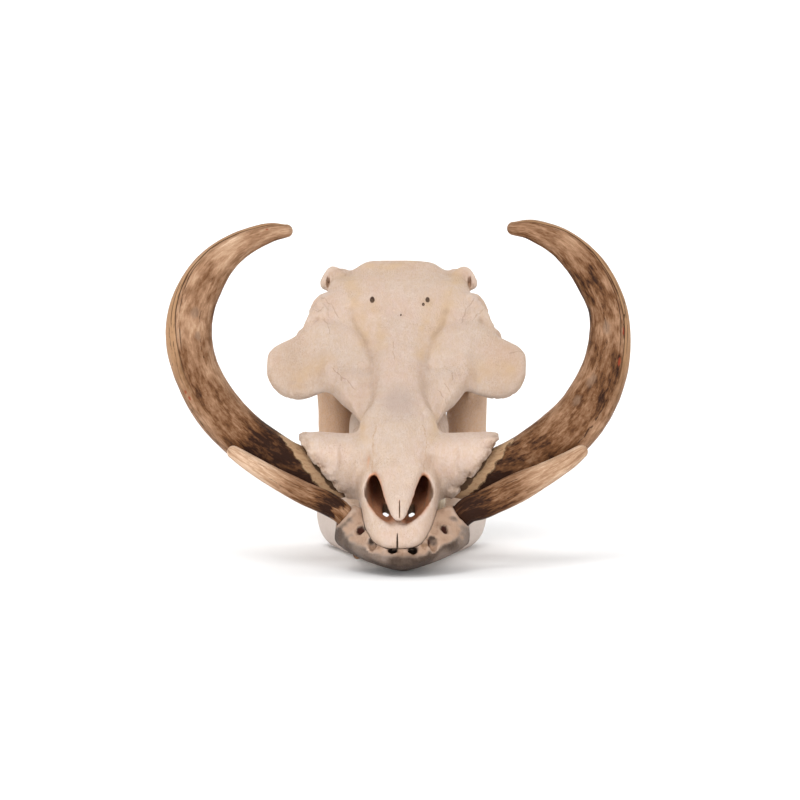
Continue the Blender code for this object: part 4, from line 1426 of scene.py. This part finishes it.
def enamel_finish(name, colours):
    """Cheek teeth: cream enamel over brown root cement."""
    effects = shared_effects()
    made, net, shader = new_finish(name, 0.32, Coat_Weight=0.2, Coat_Roughness=0.2)
    point = net.node("ShaderNodeTexCoord").outputs["Object"]
    drawn = net.vector("MULTIPLY", point, (1.0, 1.0, 0.22))
    patches = net.group(effects["patchy"], {"Point": drawn, "Size": 0.014})
    grain = net.group(
        effects["fine grain"], {"Point": point, "Grain": 900.0, "Pits": 700.0, "Pit Share": 0.2}
    )
    colour = net.over(linear(colours.enamel), colours.enamel_stain, patches["Middle"], 0.6)
    colour = net.over(colour, colours.stain, grain["Pit Mask"], 0.4)
    net.feed(shader.inputs["Base Color"], colour)
    net.feed(shader.inputs["Roughness"], net.ramp(patches["Small"], 0.0, 1.0, 0.26, 0.42))
    bump(net, shader, grain["Height"], 0.3, 0.0005)
    return made


def floor_finish(name, colours):
    made, net, shader = new_finish(name, 0.9)
    point = net.node("ShaderNodeTexCoord").outputs["Object"]
    uneven = net.ramp(net.noise(point, 3.0, detail=2.0), 0.3, 0.7)
    colour = net.over(linear(colours.floor), [c * 0.985 for c in colours.floor], uneven)
    net.feed(shader.inputs["Base Color"], colour)
    return made


# Settings

def colour_setting(name, description, default):
    return bpy.props.FloatVectorProperty(
        name=name, description=description, subtype="COLOR", size=3, min=0.0, max=1.0, default=default
    )


def size_setting(name, description, default, low, high):
    return bpy.props.FloatProperty(
        name=name, description=description, default=default * MM, min=low * MM, max=high * MM,
        subtype="DISTANCE", unit="LENGTH", precision=5,
    )


class SkullSizes(bpy.types.PropertyGroup):
    """Sizes that a user would change."""

    cranium_step: size_setting("Cranium detail", "Spacing of the points on the cranium", 1.9, 1.5, 6)
    jaw_step: size_setting("Jaw detail", "Spacing of the points on the jaw", 1.6, 1.3, 6)
    gap: size_setting("Gap", "Clearance between a tooth or tusk and its socket", GAP, 0.3, 2)
    tusk_steps: bpy.props.IntProperty(
        name="Tusk rings", description="Rings along each upper tusk", default=190, min=24, max=300
    )
    tusk_sides: bpy.props.IntProperty(
        name="Tusk sides", description="Points round each tusk", default=96, min=16, max=160
    )


class SkullColours(bpy.types.PropertyGroup):
    """Colours that a user would change."""

    bone: colour_setting("Bone", "The bone's main cream", (0.515, 0.405, 0.335))
    bone_pink: colour_setting("Pink bone", "Pinkish patches on the bone", (0.53, 0.395, 0.33))
    bone_pale: colour_setting("Pale bone", "Worn and bleached bone", (0.585, 0.49, 0.43))
    bone_yellow: colour_setting("Yellow bone", "Yellowish streaks on the bone", (0.50, 0.35, 0.22))
    bone_warm: colour_setting("Warm bone", "Tan bone", (0.41, 0.27, 0.175))
    bone_grey: colour_setting("Grey bone", "The greyer top of the nose", (0.39, 0.30, 0.255))
    jaw: colour_setting("Jaw", "The jaw's pale bone", (0.53, 0.44, 0.385))
    jaw_tan: colour_setting("Tan jaw", "The jaw's upright branches", (0.55, 0.345, 0.215))
    jaw_shelf: colour_setting(
        "Jaw shelf", "The pitted bone round the jaw's front sockets", (0.34, 0.22, 0.15)
    )
    # Painted light: a paler colour on the jaw's sides, standing in for light bounced up from the floor
    jaw_side_light: colour_setting("Pale jaw", "The bleached sides of the jaw", (0.60, 0.52, 0.47))
    # Brown dirt and stains; the same colour laid into hollows is painted shade
    stain: colour_setting("Stain", "Brown dirt in pits and hollows", (0.17, 0.09, 0.045))
    # Partly stain, partly painted shade: the dark maroon inside the nose, the throat and the crest corners
    deep: colour_setting("Deep hollows", "Inside the nose", (0.16, 0.03, 0.010))
    # Partly the nose walls' own pink, partly painted light: bright enough to stand in for light reaching
    # inside
    nose: colour_setting("Nose", "The pinkish walls inside the nose", (0.60, 0.27, 0.14))
    # Painted shade: the near-black laid inside small holes and emptied sockets
    hole_shade: colour_setting("Holes", "Small holes and emptied sockets", (0.035, 0.009, 0.005))
    # Painted shade: the near-black laid on the jaw's front and underside
    chin_shade: colour_setting("Chin", "The dark front and underside of the jaw", (0.05, 0.031, 0.022))
    ivory: colour_setting("Ivory", "The tusks' middle", (0.265, 0.147, 0.083))
    ivory_tip: colour_setting("Ivory tip", "The tusks' palest ends", (0.53, 0.37, 0.26))
    ivory_pale: colour_setting("Pale ivory", "Worn patches on the tusks", (0.40, 0.255, 0.16))
    ivory_yellow: colour_setting(
        "Yellow ivory", "The strip along the tusks' outer edge", (0.34, 0.195, 0.10)
    )
    ivory_grey: colour_setting("Grey ivory", "Greyish patches on the tusks", (0.155, 0.105, 0.075))
    ivory_brown: colour_setting("Brown ivory", "Stained ivory", (0.115, 0.048, 0.018))
    ivory_dark: colour_setting("Dark ivory", "The darkest stain, near the sockets", (0.02, 0.006, 0.002))
    red_stain: colour_setting("Red stain", "Small rusty spots on the tusks", (0.22, 0.03, 0.012))
    collar: colour_setting("Collar", "The cream band where a tusk leaves the bone", (0.36, 0.23, 0.13))
    enamel: colour_setting("Enamel", "The cheek teeth", (0.62, 0.52, 0.38))
    enamel_stain: colour_setting("Stained enamel", "Brown film on the cheek teeth", (0.30, 0.20, 0.12))
    floor: colour_setting("Floor", "The floor and backdrop", (0.93, 0.93, 0.93))


# Putting it together

def hand_over(obj, node, material, smooth_angle=50.0):
    """Moves a finished mesh to the frame's origin and puts it in place of its plain solid."""
    move_points(obj, points_of(obj) - ORIGIN)
    obj.data.materials.clear()
    obj.data.materials.append(material)
    obj.data.shade_smooth()
    obj.data.set_sharp_from_angle(angle=math.radians(smooth_angle))
    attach(obj, "root")
    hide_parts(node)


def neighbours_mean(obj, values, rounds):
    """Values averaged over each point's neighbours, again and again."""
    ends = np.empty(len(obj.data.edges) * 2, np.int32)
    obj.data.edges.foreach_get("vertices", ends)
    a, b = ends.reshape(-1, 2).T
    count = np.bincount(np.r_[a, b], minlength=len(values)).clip(1)
    values = np.array(values, float)
    for _ in range(rounds):
        if values.ndim == 1:
            values = np.bincount(np.r_[a, b], np.r_[values[b], values[a]], len(values)) / count
        else:
            values = np.stack(
                [np.bincount(np.r_[a, b], np.r_[v[b], v[a]], len(v)) / count for v in values.T], axis=1
            )
    return values


def hollowness(obj, rounds):
    """0 on sharp crests, a half on flats, and 1 in narrow hollows."""
    points = points_of(obj)
    normals = normals_of(obj)
    lift = np.einsum("ij,ij->i", neighbours_mean(obj, points, rounds) - points, normals)
    return np.clip(0.5 + neighbours_mean(obj, lift, 2) * 0.35, 0, 1)


def enclosure(obj, reach=55.0, rays=9):
    """How shut in each point is, from 0 in the open to 1 deep inside."""
    points, normals = points_of(obj), normals_of(obj)
    faces = [tuple(face.vertices) for face in obj.data.polygons]
    tree = BVHTree.FromPolygons([tuple(p) for p in points], faces)
    turn = np.arange(rays) * GOLDEN_TURN
    sink = np.sqrt((np.arange(rays) + 0.5) / rays)
    local = np.stack([np.cos(turn) * sink, np.sin(turn) * sink, np.sqrt(1 - sink**2)], axis=1)
    side = np.cross(normals, np.where(np.abs(normals[:, :1]) > 0.8, BACKWARDS, (1.0, 0.0, 0.0)))
    side /= np.maximum(np.linalg.norm(side, axis=1), 1e-9)[:, None]
    over = np.cross(normals, side)
    shut = np.zeros(len(points))
    starts = points + normals * 0.4
    for x, y, z in local:
        heads = side * x + over * y + normals * z
        for k, (start, head) in enumerate(zip(starts.tolist(), heads.tolist())):
            if tree.ray_cast(start, head, reach)[0] is not None:
                shut[k] += 1 / rays
    return neighbours_mean(obj, shut, 3)


def keep_masks(obj, name, *masks):
    """Keeps three or four masks as one colour attribute, in place of an older one."""
    values = np.zeros((len(obj.data.vertices), 4), np.float32)
    for channel, mask in enumerate(masks):
        values[:, channel] = np.clip(mask, 0, 1)
    old = obj.data.attributes.get(name)
    if old:
        obj.data.attributes.remove(old)
    note = obj.data.attributes.new(name, "FLOAT_COLOR", "POINT")
    note.data.foreach_set("color", values.ravel())


def sockets(jaw, gap):
    """The spaces for the tusks and cheek teeth of one jaw."""
    steps = 60 if jaw == "upper" else 36
    spaces = []
    for node, (rows, flip) in TUSKS.items():
        if node.startswith(jaw):
            space = skin(tusk_rings(rows, steps, 48, gap))
            spaces.append(mirrored(space) if flip else space)
    root, crown, move = TOOTH_ENDS[jaw]
    for sizes in CHEEK_TEETH.values():
        for flip in (False, True):
            spaces.append(shifted(tooth_space(*sizes, root, crown, flip, gap), move))
    return spaces


def mark_cranium(bone):
    """Keeps where the cranium is deep, stained, warm, hollow, streaked, grey or pink; the deep mask is
    partly painted shade, the warm mask's tan in shut-in and side-facing places is painted shade, and the
    pink is partly painted light.
    """
    points, normals = points_of(bone), normals_of(bone)
    x, b, h = to_palate(points).T
    reach = np.abs(x)
    shut = enclosure(bone)
    aside = rise(-reach, -27, -23)
    in_nose = rise(b, 18, 46) * rise(-b, -190, -140) * rise(h, 4, 14) * aside
    throat = 0.8 * rise(-h, -70, -40) * rise(b, 250, 262) * rise(-reach, -34, -22)
    corner = rise(b, 318, 325) * rise(reach, 60.5, 61.5) * rise(-reach, -67, -66)
    roof = np.maximum(0.05 + 0.95 * rise(h, 26, 46) * rise(-reach, -23, -15), 0.75 * rise(b, 64, 100))
    # Partly stain, partly painted shade: dark by how shut in a point is, inside the nose, the throat and the
    # crest corners
    deep = rise(shut, 0.2, 0.55) * np.maximum.reduce([in_nose * roof, throat, 0.15 * corner])
    # Partly the walls' own pink, partly painted light: laid only on shut-in walls inside the nose
    nose = rise(shut, 0.08, 0.3) * rise(b, 14, 36) * rise(-b, -190, -140) * rise(h, 1, 8) * aside
    mouth = rise(beyond_sheath(np.stack([x, b, h], axis=1)), -9, -2)
    mouth = mouth * rise(b, 60, 74) * rise(-b, -130, -118) * rise(reach, 30, 38)
    below = rise(-h, -12, 4) * rise(-b, -300, -120)
    # Stain round the sleeves' mouths, and browner below the palate
    stain = 0.8 * mouth * rise(blotches(points, 7, 41), 0.1, 0.7) + 0.25 * below
    paddle = rise(reach, 62, 90) * rise(b, 195, 215)
    crown = rise(b, 290, 345)
    flank = rise(np.abs(normals[:, 0]), 0.35, 0.85)
    # Tan on the cheek paddles, the crown, the sleeves' mouths and below the palate; the tan added in shut-in
    # places and on side-facing surfaces is painted shade
    warm = 0.4 * paddle + 0.35 * crown + 0.35 * mouth + 0.35 * below + 0.6 * rise(shut, 0.3, 0.8)
    warm = (warm + 0.35 * flank) * (0.6 + 0.8 * blotches(points, 30, 43))
    keep_masks(bone, "marks", deep, stain, warm, hollowness(bone, 6))
    sway = (blotches(points, 12, 47) - 0.5) * 7
    runs = np.zeros(len(x))
    for width, run in RUNS:
        runs = np.maximum(runs, np.exp(-((off_path(x + sway, b, run) / width) ** 2)))
    runs *= rise(normals[:, 2], 0.1, 0.4) * (0.3 + 0.9 * blotches(points * (1, 0.3, 1), 5, 48))
    centre = rise(-reach, -22, -4) * rise(b, 98, 138) * rise(-b, -182, -142) * rise(h, 58, 72)
    centre *= 0.5 + 0.8 * blotches(points, 20, 49)
    keep_masks(bone, "tints", runs, centre, nose)


def mark_jaw(jaw):
    """Keeps where the jaw is deep, stained, warm or hollow, and its shelf, sides and emptied sockets: the
    deep mask is painted shade on the front, the underside and shut-in places, the sides get painted light,
    and the emptied sockets painted shade.
    """
    points, normals = points_of(jaw), normals_of(jaw)
    x, y, z = points.T
    hollow = hollowness(jaw, 6)
    shut = enclosure(jaw, rays=7)
    # Painted shade on the jaw's front and underside: strongest where the surface faces down, or lies lowest
    # at the front
    low = rise(-z, -23, -16) * rise(-y, -34, -10)
    chin_shade = np.maximum(rise(-normals[:, 2], -0.45, -0.05), low) * rise(-y, -95, -60)
    chin_shade = chin_shade * rise(-normals[:, 1], -0.4, 0.2)
    shelf = rise(-y, -110, -80) * rise(normals[:, 2], 0.05, 0.4)
    lilac = rise(blotches(points, 17, 50), 0.4, 0.75)
    holes = np.zeros(len(x))
    rings = np.zeros(len(x))
    # Inside each emptied socket the mask is for painted shade; the ring round it is a real stain
    for *spot, size in JAW_SOCKETS:
        away = np.linalg.norm(points - ORIGIN - spot, axis=1) / size
        holes = np.maximum(holes, rise(-away, -1.0, -0.75) * rise(hollow, 0.48, 0.58))
        rings = np.maximum(rings, rise(-away, -1.5, -0.9) * rise(blotches(points, 4, 51), 0.25, 0.6))
    # The jaw's dark mask is painted shade: the front and underside, and the places the jaw shuts in
    deep = chin_shade * (0.98 - 0.25 * lilac) + 0.8 * rise(shut, 0.55, 0.85) * rise(-y, -60, -30)
    # Browner at the very bottom near the floor and in patches on the shelf; stained rings round the emptied
    # sockets
    stain = 0.3 * rise(-z, -10, -3) + 0.3 * shelf * rise(blotches(points, 6, 46), 0.35, 0.8)
    stain = np.maximum(stain, 0.75 * rings)
    height = z + 40 * (blotches(points, 30, 52) - 0.5)
    warm = rise(height, 10, 90) * (0.75 + 0.6 * blotches(points * (1, 1, 0.4), 16, 45))
    # Painted light: the jaw's side-facing surfaces, lower down and further back, are paled to stand in for
    # bounce light from the floor
    sides = rise(np.abs(normals[:, 0]), 0.15, 0.5) * rise(y, 50, 75) * rise(-height, -70, -25)
    keep_masks(jaw, "marks", deep, stain, warm, hollow)
    keep_masks(jaw, "tints", shelf, sides, holes)


class SKULL_OT_cranium(bpy.types.Operator):
    """Build the cranium with its grooves, eye rims, cheek arches and sockets"""

    bl_idname = "skull.cranium"
    bl_label = "Cranium"

    def execute(self, context):
        sizes, colours = context.scene.skull_sizes, context.scene.skull_colours
        bone = make_cranium(sizes.cranium_step / MM)
        fine = mesh_object("fine", fine_cuts())
        move_points(fine, to_table(points_of(fine)))
        combine(bone, fine, "DIFFERENCE")
        cut(bone, sockets("upper", sizes.gap / MM))
        keep_largest(bone)
        mark_cranium(bone)
        context.scene["skull_cranium"] = bone.name
        finish = bone_finish("skull bone", colours.bone, colours.deep, colours.bone_warm, colours, True)
        hand_over(bone, "cranium", finish)
        return {"FINISHED"}


class SKULL_OT_jaw(bpy.types.Operator):
    """Build the lower jaw, hollowed where the cranium rests on it"""

    bl_idname = "skull.jaw"
    bl_label = "Jaw"

    def execute(self, context):
        sizes, colours = context.scene.skull_sizes, context.scene.skull_colours
        cranium = bpy.data.objects[context.scene["skull_cranium"]]
        resting = bpy.data.objects.new("resting", cranium.data.copy())
        context.scene.collection.objects.link(resting)
        move_points(resting, points_of(resting) + ORIGIN)
        jaw = make_jaw(sizes.jaw_step / MM, resting)
        bpy.data.objects.remove(resting)
        cut(jaw, sockets("lower", sizes.gap / MM))
        keep_largest(jaw)
        mark_jaw(jaw)
        finish = bone_finish("jaw bone", colours.jaw, colours.chin_shade, colours.jaw_tan, colours, False)
        hand_over(jaw, "mandible", finish)
        return {"FINISHED"}


class SKULL_OT_tusks(bpy.types.Operator):
    """Build the two upper and two lower tusks with their stains"""

    bl_idname = "skull.tusks"
    bl_label = "Tusks"

    def execute(self, context):
        sizes, colours = context.scene.skull_sizes, context.scene.skull_colours
        for node, (rows, flip) in TUSKS.items():
            steps = sizes.tusk_steps if node in STRIP_EDGE else sizes.tusk_steps // 2
            tusk = make_tusk(f"{node}_ivory", node, rows, flip, steps, sizes.tusk_sides)
            hand_over(tusk, node, ivory_finish(f"{node} finish", colours, node), smooth_angle=80.0)
        return {"FINISHED"}


def tooth_tree():
    """Geometry nodes for one cheek tooth: joined columns, narrowed to the root and worn to a dish."""
    tree, net, have, give = node_group(
        "cheek tooth",
        {
            "Front": ("NodeSocketFloat", 0.19), "Back": ("NodeSocketFloat", 0.24),
            "Width": ("NodeSocketFloat", 0.0165), "Columns": ("NodeSocketInt", 5),
            "Root": ("NodeSocketFloat", 0.014), "Crown": ("NodeSocketFloat", -0.014),
            "Side": ("NodeSocketFloat", 1.0), "Shift": ("NodeSocketFloat", 0.0),
            "Material": ("NodeSocketMaterial", None),
        },
        {"Geometry": "NodeSocketGeometry"},
        kind="GeometryNodeTree",
    )
    tree.is_modifier = True
    tube = net.node(
        "GeometryNodeMeshCylinder",
        {"Vertices": 144, "Side Segments": 28, "Fill Segments": 12, "Radius": 1.0, "Depth": 1.0},
        fill_type="TRIANGLE_FAN",
    )
    px, py, pz = net.split(net.node("GeometryNodeInputPosition").outputs[0])
    out = net.vector("LENGTH", net.join(px, py, 0.0))
    safe = net.math("MAXIMUM", out, 0.0001)

    def squared(value):
        unit = net.math("DIVIDE", value, safe)
        size = net.math("POWER", net.math("ABSOLUTE", unit), 2 / TOOTH_SQUARENESS)
        return net.times(net.math("SIGN", unit), size)

    ux, uy = squared(px), squared(py)
    share = net.plus(pz, 0.5)
    turns = net.times(net.times(have["Columns"], math.pi), net.plus(uy, 1.0))
    wave = net.math("COSINE", turns)
    ripple = net.minus(1 - TOOTH_FURROW / 2, net.times(wave, TOOTH_FURROW / 2))
    swell = net.ramp(share, 0.0, 0.95, ROOT_SHARE, 1.0)
    worn = net.ramp(share, 0.955, 1.0, 1.0, 0.9)
    size = net.times(net.times(swell, worn), out)
    half_x = net.times(have["Width"], 0.5)
    half_b = net.times(net.minus(have["Back"], have["Front"]), 0.5)
    middle = net.times(net.plus(have["Back"], have["Front"]), 0.5)
    x = net.times(net.times(ux, ripple), net.times(half_x, size))
    x = net.plus(x, TOOTH_ROW_INNER * MM)
    b = net.plus(net.times(uy, net.times(half_b, size)), middle)
    top = net.ramp(share, 0.99, 1.0)
    dish = net.times(net.ramp(out, 0.93, 0.55), 0.0009)
    ring = net.times(net.math("COSINE", net.times(out, 21.0)), 0.00035)
    dip = net.times(net.plus(dish, net.times(ring, net.ramp(out, 0.9, 0.7))), top)
    facing = net.math("SIGN", net.minus(have["Crown"], have["Root"]))
    length = net.minus(have["Crown"], have["Root"])
    h = net.plus(have["Root"], net.times(share, length))
    h = net.minus(h, net.times(facing, dip))
    c, s = math.cos(PALATE_TILT), math.sin(PALATE_TILT)
    y = net.minus(net.times(b, c), net.times(h, s))
    z = net.plus(net.times(b, s), net.times(h, c))
    x = net.plus(net.times(x, have["Side"]), have["Shift"])
    place = net.join(x, y, net.plus(z, SNOUT_HEIGHT * MM))
    moved = net.node("GeometryNodeSetPosition", {"Geometry": tube.outputs["Mesh"], "Position": place})
    whole = net.node("GeometryNodeRealizeInstances", {"Geometry": moved.outputs["Geometry"]})
    painted = net.node(
        "GeometryNodeSetMaterial", {"Geometry": whole.outputs["Geometry"], "Material": have["Material"]}
    )
    net.feed(give["Geometry"], painted.outputs["Geometry"])
    return tree


class SKULL_OT_teeth(bpy.types.Operator):
    """Build the twelve cheek teeth from columns"""

    bl_idname = "skull.teeth"
    bl_label = "Cheek teeth"

    def execute(self, context):
        finish = enamel_finish("tooth enamel", context.scene.skull_colours)
        tree = tooth_tree()
        keys = {item.name: item.identifier for item in tree.interface.items_tree if item.in_out == "INPUT"}
        for tooth, (front, back, width, columns) in CHEEK_TEETH.items():
            for side, sign in (("left", 1.0), ("right", -1.0)):
                for jaw, (root, crown, move) in TOOTH_ENDS.items():
                    node = f"{jaw}_{tooth}_{side}"
                    made = bpy.data.objects.new(f"{node}_enamel", bpy.data.meshes.new(node))
                    context.scene.collection.objects.link(made)
                    grow = made.modifiers.new("cheek tooth", "NODES")
                    grow.node_group = tree
                    values = {
                        "Front": front * MM, "Back": back * MM, "Width": width * MM, "Columns": columns,
                        "Root": root * MM, "Crown": crown * MM, "Side": sign, "Shift": move * MM,
                        "Material": finish,
                    }
                    for label, value in values.items():
                        grow[keys[label]] = value
                    settle(made)
                    work = bmesh.new()
                    work.from_mesh(made.data)
                    bmesh.ops.recalc_face_normals(work, faces=work.faces)
                    work.to_mesh(made.data)
                    work.free()
                    hand_over(made, node, finish, smooth_angle=40.0)
        return {"FINISHED"}


# Stage: the floor in metres, the camera in millimetres

FLOOR_HALF_WIDTH = 12.0
FLOOR_FRONT = -6.0
FLOOR_BEND = 2.0
FLOOR_BEND_RADIUS = 3.0
FLOOR_TOP = 12.0
SKY_STRENGTH = 0.64
# Each lamp's name, kind, place and power, and a sun's spread in degrees or a panel's size
LAMPS = (
    ("main light", "SUN", (-0.45, -1.2, 1.35), 1.3, 32.0),
    ("front light", "SUN", (0.3, -2.0, 0.4), 1.8, 50.0),
    ("low left light", "AREA", (-1.0, -0.75, 0.1), 5.0, 0.5),
    ("low right light", "AREA", (1.0, -0.75, 0.1), 3.0, 0.5),
)
CAMERA_BACK = 2000.0
CAMERA_DOWN = math.radians(3.0)
CAMERA_AIM = 142.1
CAMERA_SENSOR = 36.0
CAMERA_LENS = 2532 / 800 * CAMERA_SENSOR
CAMERA_SHIFT = 0.0015


def make_floor(scene):
    """A flat floor that bends up behind the skull."""
    profile = [(FLOOR_FRONT, 0.0), (FLOOR_BEND, 0.0)]
    for a in np.linspace(0, math.pi / 2, 25)[1:]:
        profile.append((FLOOR_BEND + FLOOR_BEND_RADIUS * math.sin(a), FLOOR_BEND_RADIUS * (1 - math.cos(a))))
    profile.append((FLOOR_BEND + FLOOR_BEND_RADIUS, FLOOR_TOP))
    corners = [(x, y, z) for y, z in profile for x in (-FLOOR_HALF_WIDTH, FLOOR_HALF_WIDTH)]
    strips = [(2 * k, 2 * k + 1, 2 * k + 3, 2 * k + 2) for k in range(len(profile) - 1)]
    mesh = bpy.data.meshes.new("floor")
    mesh.from_pydata(corners, [], strips)
    mesh.shade_smooth()
    mesh.materials.append(floor_finish("pale floor", scene.skull_colours))
    floor = bpy.data.objects.new("floor", mesh)
    scene.collection.objects.link(floor)
    return floor


def add_lamp(scene, name, kind, place, power, spread):
    """A lamp that points at the skull's foot."""
    lamp = bpy.data.lights.new(name, kind)
    lamp.energy = power
    if kind == "SUN":
        lamp.angle = math.radians(spread)
    else:
        lamp.size = spread
    holder = bpy.data.objects.new(name, lamp)
    holder.location = place
    holder.rotation_euler = (-Vector(place)).to_track_quat("-Z", "Y").to_euler()
    scene.collection.objects.link(holder)


def add_camera(scene):
    lens = bpy.data.cameras.new("camera")
    lens.sensor_width = CAMERA_SENSOR
    lens.lens = CAMERA_LENS
    lens.shift_x = CAMERA_SHIFT
    camera = bpy.data.objects.new("camera", lens)
    reach = CAMERA_BACK * math.cos(CAMERA_DOWN) + ORIGIN[1]
    camera.location = (0.0, -reach * MM, (CAMERA_AIM + CAMERA_BACK * math.sin(CAMERA_DOWN)) * MM)
    camera.rotation_euler = (math.pi / 2 - CAMERA_DOWN, 0.0, 0.0)
    scene.collection.objects.link(camera)
    scene.camera = camera


class SKULL_OT_stage(bpy.types.Operator):
    """Build the pale floor, the soft light and the camera"""

    bl_idname = "skull.stage"
    bl_label = "Stage"

    def execute(self, context):
        scene = context.scene
        make_floor(scene)
        world = bpy.data.worlds.new("soft white")
        world.use_nodes = True
        sky = world.node_tree.nodes["Background"].inputs
        sky["Color"].default_value = (1.0, 1.0, 1.0, 1.0)
        sky["Strength"].default_value = SKY_STRENGTH
        scene.world = world
        for lamp in LAMPS:
            add_lamp(scene, *lamp)
        add_camera(scene)
        scene.view_settings.view_transform = "Standard"
        return {"FINISHED"}


class SKULL_PT_sidebar(bpy.types.Panel):
    """Buttons for each part of the skull"""

    bl_label = "Warthog Skull"
    bl_space_type = "VIEW_3D"
    bl_region_type = "UI"
    bl_category = "Skull"

    def draw(self, context):
        layout = self.layout
        for operator in OPERATORS:
            layout.operator(operator.bl_idname)
        for settings in (context.scene.skull_sizes, context.scene.skull_colours):
            column = layout.column()
            for key in settings.bl_rna.properties.keys():
                if key not in ("rna_type", "name"):
                    column.prop(settings, key)


OPERATORS = (SKULL_OT_cranium, SKULL_OT_jaw, SKULL_OT_tusks, SKULL_OT_teeth, SKULL_OT_stage)
CLASSES = (SkullSizes, SkullColours, *OPERATORS, SKULL_PT_sidebar)


def register():
    for made in CLASSES:
        bpy.utils.register_class(made)
    bpy.types.Scene.skull_sizes = bpy.props.PointerProperty(type=SkullSizes)
    bpy.types.Scene.skull_colours = bpy.props.PointerProperty(type=SkullColours)


def unregister():
    del bpy.types.Scene.skull_colours
    del bpy.types.Scene.skull_sizes
    for made in reversed(CLASSES):
        bpy.utils.unregister_class(made)


def main():
    register()
    bpy.ops.skull.cranium()
    bpy.ops.skull.jaw()
    bpy.ops.skull.tusks()
    bpy.ops.skull.teeth()
    bpy.ops.skull.stage()


if __name__ == "__main__":
    main()
